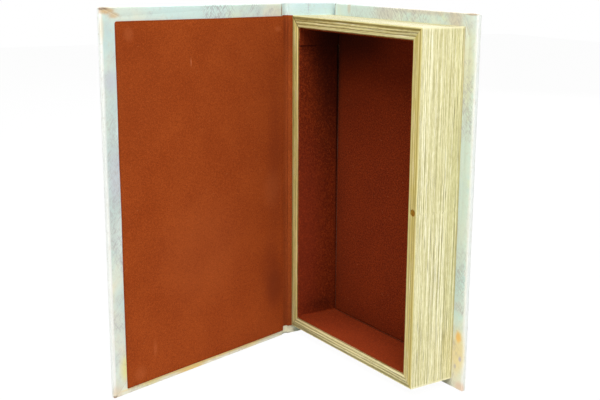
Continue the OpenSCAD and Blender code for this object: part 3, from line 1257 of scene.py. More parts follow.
@dataclass
class PaperHinge:
    """What crosses the moving joint: the paper that turns, its turned-in ends, and the felt over it.

    A bend is a distance from the hinge line, handed to blend_over, which does not use it. That of the lining is
    given for both sides of the line, on the case and on the cover.
    """

    hinge: Hinge
    paper: Extent
    felt: Extent
    spine: Extent
    rim_y: float
    paper_t: float
    joint_felt_t: float
    turn_in: float = 15 * MM
    bend: float = 1.4 * MM
    lining_bend: tuple[float, float] = (0.35 * MM, 3.4 * MM)

    def at_rest(self, x: float, y: float) -> Vector:
        """Place at rest of a point that is given in the shut cover."""
        return self.hinge.opened() @ Vector((x, y, 0))

    def blend_over(self, piece: Piece, before: float, after: float) -> None:
        """Puts a piece's placement into its mesh.

        Args:
            piece: The finished piece.
            before: Distance before the hinge line, not used.
            after: Distance after the hinge line, not used.
        """
        ahead = (self.at_rest(self.hinge.foot.x + 1, self.hinge.foot.y) - self.hinge.foot).normalized()
        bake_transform(piece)

    def shut_again(self, place: Vector) -> Vector:
        """Shut place of a point at rest: what lies beyond the hinge line turns with the cover."""
        beyond = place.y < self.hinge.foot.y
        return self.hinge.turn(self.hinge.opening) @ place if beyond else place.copy()

    def bridge(self) -> list[Vector]:
        """Walks along the glued side of what lines the joint.

        Returns:
            Its corners, from the front board's edge to the spine's inner corner.
        """
        edge_x, face_y = self.felt.hi.x, self.felt.hi.y
        corner = Vector((self.spine.hi.x, self.spine.lo.y, 0))
        slack = [(-0.6, -5.7), (-1.25, -4.0), (-1.6, -2.4), (-1.6, -1.2), (-1.3, -0.45), (-0.8, -0.1), (0, 0)]
        walk = [self.at_rest(edge_x, face_y), self.at_rest(edge_x, face_y - 1.4 * MM)]
        return walk + [corner + Vector((x, y, 0)) * MM for x, y in slack]

    def build_paper(self) -> Piece:
        """Models the paper between the spine and the front board.

        Returns:
            The strip, from the case to the cover.
        """
        foot = self.hinge.foot
        steps = [1.4, 0.9, 0.5, 0.2]
        walk = [Vector((foot.x, self.spine.lo.y, 0))]
        walk += [Vector((foot.x, foot.y + step * MM, 0)) for step in steps if foot.y + step * MM < walk[0].y]
        walk += [self.at_rest(foot.x + step * MM, foot.y) for step in reversed(steps)]
        walk += [self.at_rest(self.paper.hi.x, foot.y)]
        piece = start_sheet("hinge_strip", walk, Vector((0, 0, self.paper.hi.z)), Vector((-1, 0, 0)))
        thicken(piece, self.paper_t, outwards=False)
        smooth(piece, 60)
        keep_attribute(piece, value=self.shut_again)
        self.blend_over(piece, self.bend, self.bend)
        return piece

    def build_turn_ins(self) -> Piece:
        """Models the case paper's turned-in ends where they cross the joint at head and tail.

        Returns:
            Two bands of paper in one piece, from the cover to the case.
        """
        walk = self.bridge()
        piece = start_sheet("joint_turn_ins", walk, Vector((0, 0, self.turn_in)), self.off_the_board())
        lift = Vector((0, 0, self.paper.hi.z - self.turn_in))
        with editing(piece):
            bpy.ops.mesh.duplicate_move(TRANSFORM_OT_translate={"value": lift})
        thicken(piece, self.paper_t, outwards=True)
        smooth(piece, 50)
        keep_attribute(piece, value=self.shut_again)
        self.blend_over(piece, *self.lining_bend)
        return piece

    def off_the_board(self) -> Vector:
        """Direction in which the front board's hinge edge looks at rest."""
        return self.at_rest(-1, 0) - self.at_rest(0, 0)

    def build_felt(self) -> Piece:
        """Models the felt that lines the joint, from the front board's hinge edge to the rim.

        Returns:
            The felt, thinner over the joint, from the cover to the case.
        """
        low, high = self.felt.lo.z, self.felt.hi.z
        walk = self.bridge() + [Vector((self.spine.hi.x, self.rim_y, 0))]
        for point in walk:
            point.z = low
        piece = start_sheet("joint_felt", walk, Vector((0, 0, high - low)), self.off_the_board())
        thick_ends = (walk[0], walk[1], walk[-1], walk[-2])
        group = piece.vertex_groups.new(name="loft")
        for point in piece.data.vertices:
            flat = Vector((point.co.x, point.co.y, low))
            thick = any((flat - end).length < TOUCH for end in thick_ends)
            group.add([point.index], 1.0 if thick else 0.5, "REPLACE")
        divide(piece, 2, 40)
        thicken(piece, 2 * self.joint_felt_t, outwards=True, group="loft")
        soften(piece, 0.16 * MM)
        shift_points(piece, lambda p: Vector((0, 0, 0.18 * MM * sway(Vector((p.x, p.y, 0)), 4 * MM))))
        smooth(piece, 60)
        keep_attribute(piece, value=self.shut_again)
        self.blend_over(piece, *self.lining_bend)
        return piece


# The tray


@dataclass
class PageStrips:
    """The four strips of page-edge paper, folded over the rim and mitred at its corners.

    The two fold radii are the inner edge's and the outer edge's.
    """

    outline: Extent
    rim_w: float
    paper_t: float
    magnet: Extent
    lip: float = 0.5 * MM
    mitre_gap: float = 0.01 * MM
    hole_gap: float = 0.05 * MM
    punch_d: float = 2 * MM
    fold_r: tuple[float, float] = (0.34 * MM, 0.6 * MM)
    cuts: int = 90

    def span(self, side: Side) -> tuple[float, float]:
        """Ends of the tray's outline along a side."""
        lo, hi = self.outline.lo, self.outline.hi
        return lo.dot(side.along), hi.dot(side.along)

    def reach(self, side: Side) -> float:
        """Distance of a side's outer face from the origin, along its outward direction."""
        return max(self.outline.lo.dot(side.outward), self.outline.hi.dot(side.outward))

    def build(self, side: Side) -> Piece:
        """Models one strip.

        Args:
            side: The side of the tray that it covers.

        Returns:
            The strip, with the attribute of places along and across it.
        """
        rim_y, back_y = self.outline.lo.y, self.outline.hi.y
        start, stop = self.span(side)
        out, along = side.outward, side.along
        outer, inner = self.reach(side), self.reach(side) - self.rim_w
        base = along * start
        bends = ((inner, rim_y + self.lip), (inner, rim_y), (outer, rim_y), (outer, back_y))
        walk = [out * away + base + Vector((0, y, 0)) for away, y in bends]
        piece = start_sheet(f"page_strip_{side.name.lower()}", walk, along * (stop - start), -out)
        for across, radius in zip((inner, outer), self.fold_r):
            round_folds(piece, lambda c: all(near(p.dot(out), across) and near(p.y, rim_y) for p in c)
                        and abs((c[1] - c[0]).dot(along)) > 2 * MM, radius, 4)
        divide(piece, [abs(part) for part in along].index(1), self.cuts)
        self.make_handmade(piece, side)
        thicken(piece, self.paper_t, outwards=False)
        self.cut_mitres(piece, side)
        if side is Side.FORE:
            self.bore_magnet_hole(piece)
        smooth(piece, 50)

        def on_strip(place: Vector) -> Vector:
            """Unfolds a point of the strip.

            Args:
                place: The point.

            Returns:
                Its place along the strip, distance across it from the fold, and signed distance from the
                nearer end.
            """
            length = place.dot(along)
            across = (place.y - rim_y) - (outer - place.dot(out))
            from_end = length - start if length - start < stop - length else length - stop
            return Vector((length, across, from_end))

        keep_attribute(piece, STRIP, on_strip)
        return piece

    def cut_mitres(self, piece: Piece, side: Side) -> None:
        """Cuts both ends at 45 degrees, through the paper's thickness too.

        Args:
            piece: The strip.
            side: The side of the tray that it covers.
        """
        start, stop = self.span(side)
        corner_out = side.outward * self.reach(side)
        with editing(piece):
            for end, inwards in ((start, 1), (stop, -1)):
                bpy.ops.mesh.select_all(action="SELECT")
                slant = side.along * inwards + side.outward
                corner = corner_out + side.along * (end + inwards * self.mitre_gap)
                bpy.ops.mesh.bisect(plane_co=corner, plane_no=slant, clear_inner=True, use_fill=True)

    def make_handmade(self, piece: Piece, side: Side) -> None:
        """Lets the inner fold wander and the rim ripple a little, as hand-folded paper does.

        Args:
            piece: The strip.
            side: The side of the tray that it covers.
        """
        rim_y, inner = self.outline.lo.y, self.reach(side) - self.rim_w
        start, stop = self.span(side)
        seed = len(side.name)

        def move(place: Vector) -> Vector:
            """Moves one point.

            Args:
                place: The point.

            Returns:
                How far it moves.
            """
            length = place.dot(side.along)
            ends = min(1.0, max(0.0, min(length - start, stop - length) / (14 * MM) - 0.6))
            along_only = side.along * length
            depth = max(0.0, 1 - (place.dot(side.outward) - inner) / (3 * MM))
            edge = 0.22 * MM * sway(along_only, 17 * MM, seed) + 0.1 * MM * sway(along_only, 5 * MM, seed)
            bulge = 0.0
            if side is Side.SPINE:
                bulge = 0.75 * MM * math.exp(-((stop - length - 15 * MM) / (3.2 * MM)) ** 2)
            on_rim = 1.0 if place.y < rim_y + 0.7 * MM else 0.0
            ripple = 0.05 * MM * sway(place, 11 * MM, seed) * ends
            return on_rim * (depth * (edge * ends + bulge) * -side.outward + Vector((0, abs(ripple), 0)))

        shift_points(piece, move)

    def bore_magnet_hole(self, strip: Piece) -> None:
        """Cuts the magnet's round hole through the fore strip.

        Args:
            strip: The fore strip.
        """
        place = Vector((self.magnet.mid.x, self.outline.lo.y, self.magnet.mid.z))
        punch = start_rod("punch", place, self.magnet.size.x / 2 + self.hole_gap, self.punch_d)
        finish_with(strip, "BOOLEAN", object=punch, operation="DIFFERENCE", solver="EXACT")
        bpy.data.objects.remove(punch)


@dataclass
class TrayLining:
    """Felt inside the tray: one lapped band round the walls and a panel on the back board."""

    walls: Extent
    floor: Extent
    felt_t: float
    overlap: float = 14 * MM
    corner_r: float = 2.2 * MM
    panel_r: float = 0.45 * MM
    panel_gap: float = 0.05 * MM

    def build_band(self) -> Piece:
        """Models the band, from its start beside the head, once round, and over its own start.

        Returns:
            The band.
        """
        lo, hi = self.walls.lo, self.walls.hi
        lap_x = lo.x + self.felt_t
        corners = [(lo.x, hi.z - self.felt_t), (lo.x, lo.z), (hi.x, lo.z), (hi.x, hi.z), (lap_x, hi.z),
                   (lap_x, hi.z - self.overlap)]
        walk = [Vector((x, lo.y, z)) for x, z in corners]
        depth = Vector((0, hi.y - lo.y, 0))
        piece = start_sheet("wall_lining", walk, depth, Vector((1, 0, 0)))
        turns = [(lo.x, lo.z), (hi.x, lo.z), (hi.x, hi.z), (lap_x, hi.z)]
        round_folds(piece, lambda c: any(all(near(p.x, x) and near(p.z, z) for p in c) for x, z in turns),
                    self.corner_r, 6)
        divide(piece, 1, 10)
        divide(piece, 2, 60)
        thicken(piece, self.felt_t, outwards=True)
        soften(piece, 0.22 * MM)
        mid = self.walls.mid

        def puff(place: Vector) -> Vector:
            """Slight unevenness of the glued felt.

            Args:
                place: A point of the band.

            Returns:
                How far it moves towards the middle of the tray.
            """
            inward = Vector((math.copysign(1, mid.x - place.x), 0, 0))
            if min(abs(place.z - lo.z), abs(place.z - hi.z)) < min(abs(place.x - lo.x), abs(place.x - hi.x)):
                inward = Vector((0, 0, math.copysign(1, mid.z - place.z)))
            return inward * 0.12 * MM * sway(place, 30 * MM, 2)

        shift_points(piece, puff)
        smooth(piece, 50)
        return piece

    def build_panel(self) -> Piece:
        """Models the panel, pillowed towards its edges so that a dark line is left beside the walls.

        Returns:
            The panel.
        """
        shy = self.felt_t + self.panel_gap
        lo = Vector((self.walls.lo.x + shy, self.floor.lo.y, self.walls.lo.z + shy))
        hi = Vector((self.walls.hi.x - shy, self.floor.hi.y, self.walls.hi.z - shy))
        piece = start_block("floor_lining", Extent(lo, hi))
        divide(piece, 0, 34)
        divide(piece, 2, 60)

        def on_rim(corners: Corners) -> bool:
            """Whether an edge is on the outline of the panel's face."""
            return all_at(1, lo.y)(corners) and sides_met(Extent(lo, hi), corners, (0, 2)) > 0

        round_folds(piece, on_rim, self.panel_r, 3)

        def wave(place: Vector) -> Vector:
            """Slight unevenness of the glued felt, on the panel's face."""
            on_face = place.y <= lo.y + 0.5 * MM
            return Vector((0, 0.1 * MM * sway(place, 36 * MM, 5) if on_face else 0, 0))

        shift_points(piece, wave)
        smooth(piece, 60)
        return piece


@dataclass
class Magnet:
    """The round magnet in the fore wall. Its face is dished in steps, each a rim's width and a depth."""

    extent: Extent
    dish: tuple[tuple[float, float], ...] = ((0.45 * MM, 0.3 * MM), (0.3 * MM, 0.08 * MM))
    edge_r: float = 0.12 * MM

    def build(self) -> Piece:
        """Models the magnet.

        Returns:
            A short rod with a rounded edge and a shallow dish in its face.
        """
        piece = start_rod("magnet_rod", self.extent.mid, self.extent.size.x / 2, self.extent.size.y)
        with editing(piece):
            pick(piece, Part.FACE, all_at(1, self.extent.lo.y))
            for rim_w, sink in self.dish:
                bpy.ops.mesh.inset(thickness=rim_w)
                bpy.ops.transform.translate(value=(0, sink, 0))
        soften(piece, self.edge_r, 40, 3)
        smooth(piece, 40)
        return piece


@dataclass
class CoverFelt:
    """Felt panel on the cover's inner face, with soft cut edges."""

    extent: Extent
    worn_r: float = 1.6 * MM
    edge_r: float = 0.3 * MM
    fading: float = 5 * MM

    def build(self) -> Piece:
        """Models the panel in the shut cover.

        Returns:
            The panel, one corner rounded by wear, its outline and face a little uneven.
        """
        piece = start_block("cover_lining", self.extent)
        lo, hi = self.extent.lo, self.extent.hi
        round_folds(piece, lambda c: runs_along(c, 1) and all(near(p.x, hi.x) and near(p.z, hi.z) for p in c),
                    self.worn_r, 5)
        round_folds(piece, lambda c: runs_along(c, 1) and all(near(p.x, lo.x) or near(p.z, lo.z) for p in c),
                    self.edge_r, 2)
        divide(piece, 0, 40)
        divide(piece, 2, 64)
        round_folds(piece, lambda c: all_at(1, hi.y)(c) and self.on_outline(c), self.edge_r, 3)
        mid = self.extent.mid

        def move(place: Vector) -> Vector:
            """Moves one point.

            Args:
                place: The point.

            Returns:
                How far it moves: its outline wanders and its face waves.
            """
            edge_x = max(0.0, 1 - min(place.x - lo.x, hi.x - place.x) / self.fading)
            edge_z = max(0.0, 1 - min(place.z - lo.z, hi.z - place.z) / self.fading)
            level = Vector((place.x, mid.y, place.z))
            wave = Vector((0.16 * edge_x * sway(level, 42 * MM, 3), 0,
                           0.14 * edge_z * sway(level, 38 * MM, 7)))
            if place.y > mid.y:
                wave.y = -0.08 * abs(sway(level, 34 * MM, 9)) * (1 - max(edge_x, edge_z))
            return wave * MM

        shift_points(piece, move)
        smooth(piece, 60)
        return piece

    def on_outline(self, corners: Corners) -> bool:
        """Whether an edge of the free face is on the panel's outline.

        Args:
            corners: The edge's ends.

        Returns:
            The answer, which is yes too on the worn corner's arc.
        """
        x, z = self.extent.hi.x - self.worn_r, self.extent.hi.z - self.worn_r
        on_arc = all(abs(math.hypot(c.x - x, c.z - z) - self.worn_r) < 0.1 * MM
                     and c.x > x - TOUCH and c.z > z - TOUCH for c in corners)
        return on_arc or sides_met(self.extent, corners, (0, 2)) > 0


# The studio


@dataclass(frozen=True)
class Softbox:
    """A square lamp: where it stands, its size and its power."""

    name: str
    place: tuple[float, float, float]
    size: float
    power: float

    def build(self, target: Vector) -> None:
        """Adds the lamp.

        Args:
            target: The place that it faces.
        """
        data = bpy.data.lights.new(self.name, "AREA")
        data.shape, data.size, data.energy = "SQUARE", self.size, self.power
        lamp = bpy.data.objects.new(self.name, data)
        bpy.context.scene.collection.objects.link(lamp)
        lamp.location = self.place
        lamp.rotation_euler = (target - lamp.location).to_track_quat("-Z", "Y").to_euler()


@dataclass(frozen=True)
class Studio:
    """Pale floor, soft lamps and the camera at the photo's viewing angle, its frame cut off centre."""

    target: Vector
    world: float = 0.2
    floor_size: float = 6.0
    floor_drop: float = 0.02 * MM
    floor_grey: float = 0.8
    floor_glow: float = 1.02
    glow_share: float = 0.95
    camera_place: tuple[float, float, float] = (594.43, -465.82, 299.0)
    camera_turn: tuple[float, float, float] = (76.936, -1.274, 53.395)
    lens: float = 60.85
    shift: tuple[float, float] = (-0.1275, 0.0038)
    lamps: tuple[Softbox, ...] = (
        Softbox("key_lamp", (0.25, -0.75, 1.45), 0.9, 19),
        Softbox("side_lamp", (0.8, -0.3, 1.4), 0.7, 13),
        Softbox("low_lamp", (1.5, 0.2, 0.45), 0.8, 3),
        Softbox("back_lamp", (-1.0, 1.2, 0.8), 0.9, 15),
    )

    def paint_floor(self) -> bpy.types.Material:
        """A white floor that keeps the object's soft shadow.

        Returns:
            Its material, which glows for the camera and in reflections.
        """
        bench = NodeBench.for_material("studio_floor")
        bench.tree.nodes.remove(bench.tree.nodes["Principled BSDF"])
        share = bench.calc("MULTIPLY", bench.seen_by("Camera", "Glossy"), self.glow_share)
        grey = (self.floor_grey, self.floor_grey, self.floor_grey, 1)
        paint = bench.add("BsdfDiffuse", {"Color": grey}).outputs[0]
        glow = bench.add("Emission", {"Strength": self.floor_glow}).outputs[0]
        mixed = bench.add("MixShader", {0: share, 1: paint, 2: glow}).outputs[0]
        bench.feed(bench.tree.nodes["Material Output"].inputs[0], mixed)
        return bench.owner

    def build_floor(self) -> None:
        """Lays the floor under the box."""
        select_only()
        bpy.ops.mesh.primitive_plane_add(size=self.floor_size, location=(0, 0, -self.floor_drop))
        floor = settle("studio_floor")
        dress(floor, self.paint_floor())

    def light_world(self) -> None:
        """Soft grey light from all round, which the camera sees as white."""
        bpy.context.scene.world = bpy.data.worlds.new("studio_world")
        bench = NodeBench(bpy.context.scene.world)
        seen = bench.seen_by("Camera", "Transmission")
        strength = bench.add("MapRange", {"Value": seen, "To Min": self.world, "To Max": 1.0}).outputs[0]
        background = bench.tree.nodes["Background"]
        bench.feed(background.inputs["Color"], (1, 1, 1, 1))
        bench.feed(background.inputs["Strength"], strength)

    def place_camera(self) -> None:
        """Sets the camera up as the photo was taken."""
        data = bpy.data.cameras.new("photo_camera")
        data.sensor_width, data.lens = 36, self.lens
        data.shift_x, data.shift_y = self.shift
        camera = bpy.data.objects.new("photo_camera", data)
        bpy.context.scene.collection.objects.link(camera)
        camera.location = Vector(self.camera_place) * MM
        camera.rotation_euler = Euler([math.radians(angle) for angle in self.camera_turn], "XYZ")
        bpy.context.scene.camera = camera

    def build(self) -> None:
        """Sets up the whole studio."""
        bpy.context.scene.view_settings.view_transform = "Standard"
        for lamp in self.lamps:
            lamp.build(self.target)
        self.build_floor()
        self.light_world()
        self.place_camera()


# The whole box


@dataclass
class BookBox:
    """All pieces of the book box, built round the frame."""

    hinge: Hinge = field(default_factory=Hinge.from_frame)

    def __post_init__(self) -> None:
        """Reads the sizes that several pieces share from the frame."""
        self.back = Extent.of("back_cover_paper")
        self.front = self.hinge.shut_extent("front_cover_paper")
        self.paper_t = Extent.of("back_board").lo.y - self.back.lo.y
        spine_board = Extent.of("spine_board")
        grow = Vector((self.paper_t, 0, self.paper_t))
        self.spine = Extent(Vector(spine_board.lo - grow), Vector(spine_board.hi + grow))
        self.spine.hi.y = self.back.hi.y
        tail, head = Extent.of("page_paper_tail"), Extent.of("page_paper_head")
        self.tray = Extent(tail.lo, head.hi)
        self.rim_w = tail.size.z
        self.walls = Extent.of("tray_wall_felt")
        self.cover_felt = self.hinge.shut_extent("cover_felt")
        self.felt_t = self.cover_felt.size.y

    @staticmethod
    def seams(board: Extent, y: float, *ends: tuple[tuple[float, float], ...]) -> tuple[Seam, ...]:
        """Where the turn-ins meet at the fore edge's two corners.

        Args:
            board: The wrapped board.
            y: Its inner face.
            *ends: For the head, then for the tail, start and end of the seam, each in mm from the fore edge
                and from the head or tail.

        Returns:
            The two seams.
        """
        corners = ((board.hi.z, -MM), (board.lo.z, MM))
        return tuple(
            tuple(Vector((board.hi.x - x * MM, y, edge_z + z * inwards)) for x, z in seam)
            for (edge_z, inwards), seam in zip(corners, ends)
        )

    def paper_marks_and_painted_shade(self) -> tuple[Mark, ...]:
        """Age marks, printed tints and painted shade on the covering paper.

        Returns:
            The marks, those that cover more before the ones on top of them.
        """
        front_y, back_y = self.front.hi.y / MM, self.back.lo.y / MM
        fore, head = self.front.hi.x / MM, self.front.hi.z / MM
        tan, brown, peach = rgb(212, 176, 122), rgb(120, 78, 44), rgb(226, 194, 166)
        hinge_x, low_edge = self.front.lo.x / MM, self.cover_felt.lo.z / MM
        return (
            Mark((-5, front_y, 0), (160, 3, 10), rgb(242, 236, 210), 0.95),
            Mark((14, front_y, 2), (22, 3, 6), rgb(240, 206, 120), 0.9),
            Mark((52, front_y, 3), (16, 3, 5), rgb(238, 226, 160), 0.8),
            Mark((-48, front_y, 3), (18, 3, 5), rgb(240, 222, 158), 0.7),
            Mark((-5, front_y, low_edge - 0.9), (150, 2, 1.8), rgb(242, 214, 132), 0.9),
            Mark((0, front_y, head), (110, 4, 20), rgb(212, 238, 232), 0.8),
            Mark((fore - 11, front_y, 20), (8, 3, 16), rgb(230, 228, 150), 0.85),
            Mark((-88, -22, head - 2), (10, 46, 40), rgb(198, 224, 230), 0.9),
            Mark((-88, -25, head - 3), (4, 0.8, 8), rgb(176, 186, 206), 0.6),
            Mark((fore - 9, back_y, 150), (12, 4, 130), rgb(206, 220, 208), 0.8),
            Mark((fore - 9, back_y, 232), (12, 4, 50), rgb(212, 213, 182), 0.9),
            Mark((fore - 7, front_y, 180), (12, 3, 110), rgb(194, 210, 206), 0.55),
            Mark((fore - 7, front_y, 222), (10, 3, 12), rgb(196, 198, 208), 0.6),
            Mark((fore - 11, front_y, 190), (4, 3, 22), rgb(220, 236, 228), 0.6),
            Mark((fore - 9, front_y, 112), (5, 3, 30), rgb(222, 236, 230), 0.5),
            Mark((fore - 8, front_y, 158), (10, 3, 30), rgb(202, 200, 212), 0.5),
            Mark((fore - 6, back_y, 28), (12, 4, 28), rgb(236, 216, 156), 0.85),
            Mark((fore - 6, back_y, 40), (5, 4, 7), rgb(242, 190, 92), 0.9),
            Mark((fore - 3.5, back_y, 24), (2.6, 4, 3.4), rgb(184, 172, 190), 0.8),
            Mark((fore - 8.5, back_y, 17), (2.2, 4, 3), rgb(190, 178, 178), 0.7),
            Mark((fore - 5, front_y, head - 2.5), (10, 4, 3.6), tan, 0.9),
            Mark((fore - 10.5, front_y, head - 5.4), (7, 4, 3.4), tan, 0.75),
            Mark((fore - 1, front_y, head - 1), (9, 3, 1.6), brown, 0.8),
            Mark((fore - 1, front_y, head - 14), (3, 4, 14), rgb(226, 214, 180), 0.5),
            Mark((fore - 2, front_y, 3), (9, 4, 10), rgb(226, 212, 186), 0.8),
            Mark((fore - 0.6, front_y, 0.8), (3, 3, 1.8), rgb(138, 100, 66), 0.85),
            Mark((fore - 2, back_y, 2), (10, 4, 8), peach, 0.8),
            Mark((fore - 6, back_y, head - 0.4), (11, 4, 1.5), rgb(172, 142, 106), 0.8),
            Mark((-58, back_y, head - 4), (60, 4, 26), rgb(204, 224, 220), 0.8),
            Mark((62, back_y, head - 4), (14, 4, 12), rgb(210, 194, 168), 0.6),
            Mark((30, back_y, head - 0.5), (60, 4, 5), rgb(208, 196, 176), 0.65),
            Mark((-18, back_y, head - 4), (22, 4, 9), rgb(200, 194, 184), 0.6),
            Mark((-65, back_y, head - 2), (3.8, 4, 9), rgb(202, 192, 172), 0.7),
            # Painted shade in the back joint's groove at the head, over a darker paper colour, and in the small
            # hole at the groove's top end.
            Mark((-84.2, back_y, head - 5), (0.8, 3, 9), rgb(150, 116, 96), 0.95),
            Mark((-85.2, back_y, head - 0.6), (2.6, 3, 1.8), rgb(60, 30, 22), 1.0),
            # Painted shade in the front joint's groove at the head.
            Mark((hinge_x + 0.6, front_y, head - 6), (0.9, 2.5, 10), rgb(150, 120, 96), 1.0),
            Mark((-87, -44, 5), (16, 14, 26), rgb(236, 230, 200), 0.95),
            # Painted shadow along the foot of the joint at the tail.
            Mark((-89, -44, 0.2), (7, 7, 1.4), rgb(118, 112, 92), 0.8),
        )

    def hatching(self) -> tuple[Mark, ...]:
        """Where the print's strokes lie closest.

        Returns:
            Marks on the borders round the tray and the felt.
        """
        front_y, back_y, ink = self.front.hi.y / MM, self.back.lo.y / MM, CoverPrintFinish.ink
        fore, head = self.front.hi.x / MM - 5, self.front.hi.z / MM - 5
        return (
            Mark((-2, back_y, head), (56, 4, 18), ink, 0.55),
            Mark((58, back_y, head + 2), (28, 4, 10), ink, 0.35),
            Mark((fore, back_y, 210), (14, 4, 30), ink, 0.6),
            Mark((fore, back_y, 84), (12, 4, 24), ink, 0.5),
            Mark((-18, front_y, head), (24, 4, 14), ink, 0.55),
            Mark((fore, front_y, 150), (14, 4, 90), ink, 0.35),
        )

    def lining_painted_shade_and_light(self) -> tuple[Mark, ...]:
        """Painted shade and painted light on the tray's lining.

        Returns:
            Painted shade in the corner under the head wall, deep along the spine wall and at its foot, painted
            light on the spine wall and the tail near the mouth, and painted shade as dark lines in its corners
            and at the lap of the band.
        """
        lo, hi = self.walls.lo / MM, self.walls.hi / MM
        felt_t, mid = self.felt_t / MM, self.walls.mid / MM
        floor_y, black = hi.y - felt_t, rgb(22, 4, 1)
        return (
            # Painted shade under the head wall and deep along the spine wall.
            Mark((lo.x + 18, hi.y, hi.z), (84, 46, 42), rgb(34, 5, 0), 0.9),
            Mark((lo.x, hi.y - 6, hi.z - 10), (7, 28, 125), rgb(34, 5, 0), 0.65),
            # Painted light on the spine wall near the mouth.
            Mark((lo.x, lo.y + 4, mid.z - 50), (3, 30, 130), rgb(150, 54, 30), 0.35),
            # Painted shade at the foot of the spine wall.
            Mark((lo.x, mid.y + 4, lo.z + 9), (5, 24, 8), black, 0.35),
            # Painted light on the tail near the mouth.
            Mark((mid.x, lo.y, lo.z), (100, 44, 12), rgb(156, 60, 26), 0.4),
            # Painted shade as dark lines in the corners and at the lap of the band.
            Mark((lo.x + felt_t, floor_y, hi.z - 20), (1.5, 1.5, 220), rgb(20, 4, 1), 0.95),
            Mark((mid.x, floor_y, lo.z + felt_t), (90, 1.2, 1.2), black, 0.3),
            Mark((hi.x - felt_t, floor_y, mid.z), (1.2, 1.2, 150), black, 0.7),
            Mark((lo.x + felt_t, lo.y + 4, hi.z - 14), (2.5, 26, 0.9), black, 0.9),
        )

    def felt_wear_and_painted_shade(self) -> tuple[Mark, ...]:
        """Wear of the cover's felt, its broad tone, and painted shade beside the joint.

        Returns:
            Lint, rubbed places, broad darker and lighter tone, and painted shade beside the joint, where the
            tray shades the felt.
        """
        y = self.cover_felt.hi.y / MM
        light, dark = rgb(184, 96, 50), rgb(112, 42, 16)
        return (
            Mark((-79, y, 251), (5, 3, 3), light, 0.6),
            Mark((9.2, y, 230.5), (0.5, 3, 4.5), rgb(214, 140, 92), 0.8),
            Mark((48, y, 27), (2.4, 3, 9), light, 0.5),
            Mark((62, y, 12), (8, 3, 8), light, 0.4),
            Mark((63, y, 252), (6, 3, 7), light, 0.45),
            Mark((75, y, 136), (1.8, 3, 8), dark, 0.8),
            # Painted shade beside the joint, where the tray shades the felt, with a lighter patch in it.
            Mark((-70, y, 60), (14, 3, 40), dark, 0.35),
            Mark((-76, y, 150), (12, 3, 90), dark, 0.35),
            Mark((-72, y, 126), (14, 3, 22), light, 0.25),
            Mark((-76, y, 44), (15, 3, 26), dark, 0.6),
            Mark((64, y, 220), (44, 3, 90), dark, 0.16),
            Mark((0, y, 90), (60, 3, 60), light, 0.16),
        )

    def dress_nodes(self) -> None:
        """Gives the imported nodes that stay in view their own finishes."""
        wood = {grain: WoodFinish(grain).material() for grain in Grain}
        board = GreyboardFinish().material()
        steel = MetalFinish("keeper_steel", rgb(176, 178, 182), rgb(120, 118, 112), 1.0, 0.38).material()
        looks = {
            "back_board": board, "spine_board": board, "front_board": board, "keeper_disc": steel,
            "tray_tail_wall": wood[Grain.LEVEL], "tray_head_wall": wood[Grain.LEVEL],
            "tray_fore_wall": wood[Grain.UPRIGHT], "tray_spine_wall": wood[Grain.UPRIGHT],
        }
        for node, material in looks.items():
            dress(frame["nodes"][node], material)
            log.info("%s: dressed", node)

    def build_case_paper(self) -> None:
        """Builds the printed paper of both boards, the spine and the two joints."""
        back_y, front_y = self.back.lo.y, self.front.hi.y
        back_seams = self.seams(self.back, back_y, ((14.5, 0), (8.5, 14)), ((13, 0), (9, 12)))
        front_seams = self.seams(self.front, front_y, ((1, 0.6), (14, 6)), ((0.8, 0.8), (13, 12)))
        paper = CoverPrintFinish(self.back, (back_y, front_y), self.paper_marks_and_painted_shade(), self.hatching(),
                                 back_seams + front_seams).material()
        back = BoardWrap("back_wrap", self.back, back_y, self.paper_t, seams=back_seams).build()
        keep_attribute(back)
        hand_over(back, paper, Slot.COVER_PRINT, Body.CASE, "back_cover_paper")
        spine = Spine(self.spine, self.back.lo.x, self.paper_t)
        wrap, groove = spine.build_wrap(), spine.build_groove()
        for piece in (wrap, groove):
            keep_attribute(piece)
        hand_over(wrap, paper, Slot.COVER_PRINT, Body.CASE, "spine_paper")
        hand_over(groove, paper, Slot.COVER_PRINT, Body.CASE)
        front = BoardWrap("front_wrap", self.front, front_y, self.paper_t, seams=front_seams).build()
        keep_attribute(front)
        front.data.transform(self.hinge.opened())
        hand_over(front, paper, Slot.COVER_PRINT, Body.COVER, "front_cover_paper")
        joint = self.paper_hinge()
        hand_over(joint.build_paper(), paper, Slot.COVER_PRINT, None, "hinge_paper")
        hand_over(joint.build_turn_ins(), paper, Slot.COVER_PRINT, None)

    def paper_hinge(self) -> PaperHinge:
        """Takes the moving joint's sizes from the frame.

        Returns:
            The joint, not yet built.
        """
        paper, felt = self.hinge.shut_extent("hinge_paper"), self.hinge.shut_extent("hinge_felt")
        joint_felt_t = self.spine.lo.y - Extent.of("spine_felt").lo.y
        return PaperHinge(self.hinge, paper, felt, self.spine, self.tray.lo.y, self.paper_t, joint_felt_t)

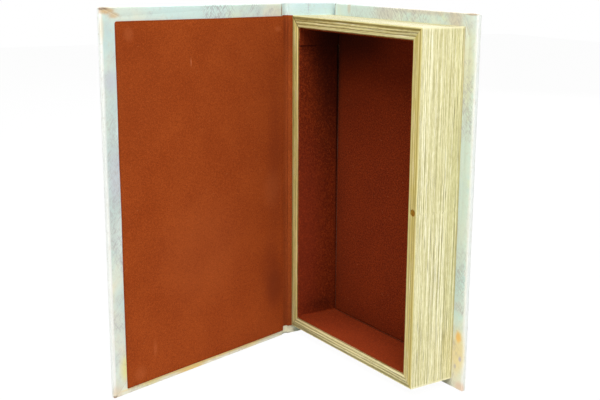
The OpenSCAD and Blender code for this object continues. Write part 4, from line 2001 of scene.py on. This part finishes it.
    def build_felts(self) -> None:
        """Builds the felt of the cover, the joint and the tray."""
        cover = CoverFelt(self.cover_felt).build()
        keep_attribute(cover)
        cover.data.transform(self.hinge.opened())
        # The cover felt's marks carry painted shade beside the joint, and its outline gives painted shade along
        # its cut edges.
        finish = FeltFinish("cover_felt_wool", marks=self.felt_wear_and_painted_shade(), outline=self.cover_felt)
        hand_over(cover, finish.material(), Slot.RUST_FELT, Body.COVER, "cover_felt")
        shade = (Mark((-88, -22, 268), (20, 50, 70), rgb(104, 38, 14), 0.4),
                 Mark((-88, -22, 10), (20, 50, 70), rgb(104, 38, 18), 0.3))
        felt = FeltFinish("joint_felt_wool", rgb(178, 85, 36), rgb(166, 77, 31), marks=shade).material()
        hand_over(self.paper_hinge().build_felt(), felt, Slot.RUST_FELT, None, "hinge_felt", "spine_felt")
        # The lining is the same rust felt made darker: partly its own redder hue, partly painted shade for the
        # inside of the tray. Its marks are painted shade and painted light.
        felt = FeltFinish("lining_felt_wool", rgb(141, 49, 10), rgb(130, 42, 8), rgb(52, 12, 2),
                          rgb(176, 72, 27), mottle=0.58, marks=self.lining_painted_shade_and_light()).material()
        lining = TrayLining(self.walls, Extent.of("tray_floor_felt"), self.felt_t)
        band, panel = lining.build_band(), lining.build_panel()
        for piece in (band, panel):
            keep_attribute(piece)
        hand_over(band, felt, Slot.RUST_FELT, Body.CASE, "tray_wall_felt")
        hand_over(panel, felt, Slot.RUST_FELT, Body.CASE, "tray_floor_felt")

    def build_tray(self) -> None:
        """Builds the page-edge strips and the magnet."""
        magnet = Extent.of("magnet")
        strips = PageStrips(self.tray, self.rim_w, self.paper_t, magnet)
        even = rgb(255, 255, 255)
        # For each side: the rim's colour, its dark and pale lines, the side face's painted shade (white for
        # none, darker on the head's upward face), and the mitre lines' strengths at the strip's start and end.
        rims = {
            Side.TAIL: (rgb(192, 184, 124), rgb(126, 118, 66), rgb(230, 222, 168), even, (0.25, 0.15)),
            Side.FORE: (rgb(196, 182, 98), rgb(170, 152, 76), rgb(212, 200, 134), even, (0.15, 0.0)),
            Side.HEAD: (rgb(176, 163, 98), rgb(114, 98, 38), rgb(220, 212, 152), rgb(226, 225, 222),
                        (1.0, 0.0)),
            Side.SPINE: (rgb(196, 187, 100), rgb(150, 140, 62), rgb(246, 232, 162), even, (0.25, 0.9)),
        }
        for side, looks in rims.items():
            name, draw = side.name.lower(), len(side.name)
            finish = PagePrintFinish(f"page_print_{name}", self.rim_w, self.tray.size.y, *looks, draw)
            hand_over(strips.build(side), finish.material(), Slot.PAGE_PRINT, Body.CASE, f"page_paper_{name}")
        gilt = MetalFinish("magnet_gilt", rgb(196, 152, 50), rgb(134, 98, 18), 0.6, 0.45).material()
        hand_over(Magnet(magnet).build(), gilt, Slot.GILT_METAL, Body.CASE, "magnet")

    def build(self) -> None:
        """Builds every piece in order."""
        self.dress_nodes()
        self.build_case_paper()
        self.build_tray()
        self.build_felts()


def main() -> None:
    """Builds the box and its studio."""
    box = BookBox()
    box.build()
    Studio(target=Vector((0, -0.06, 0.13))).build()


if __name__ == "__main__":
    main()
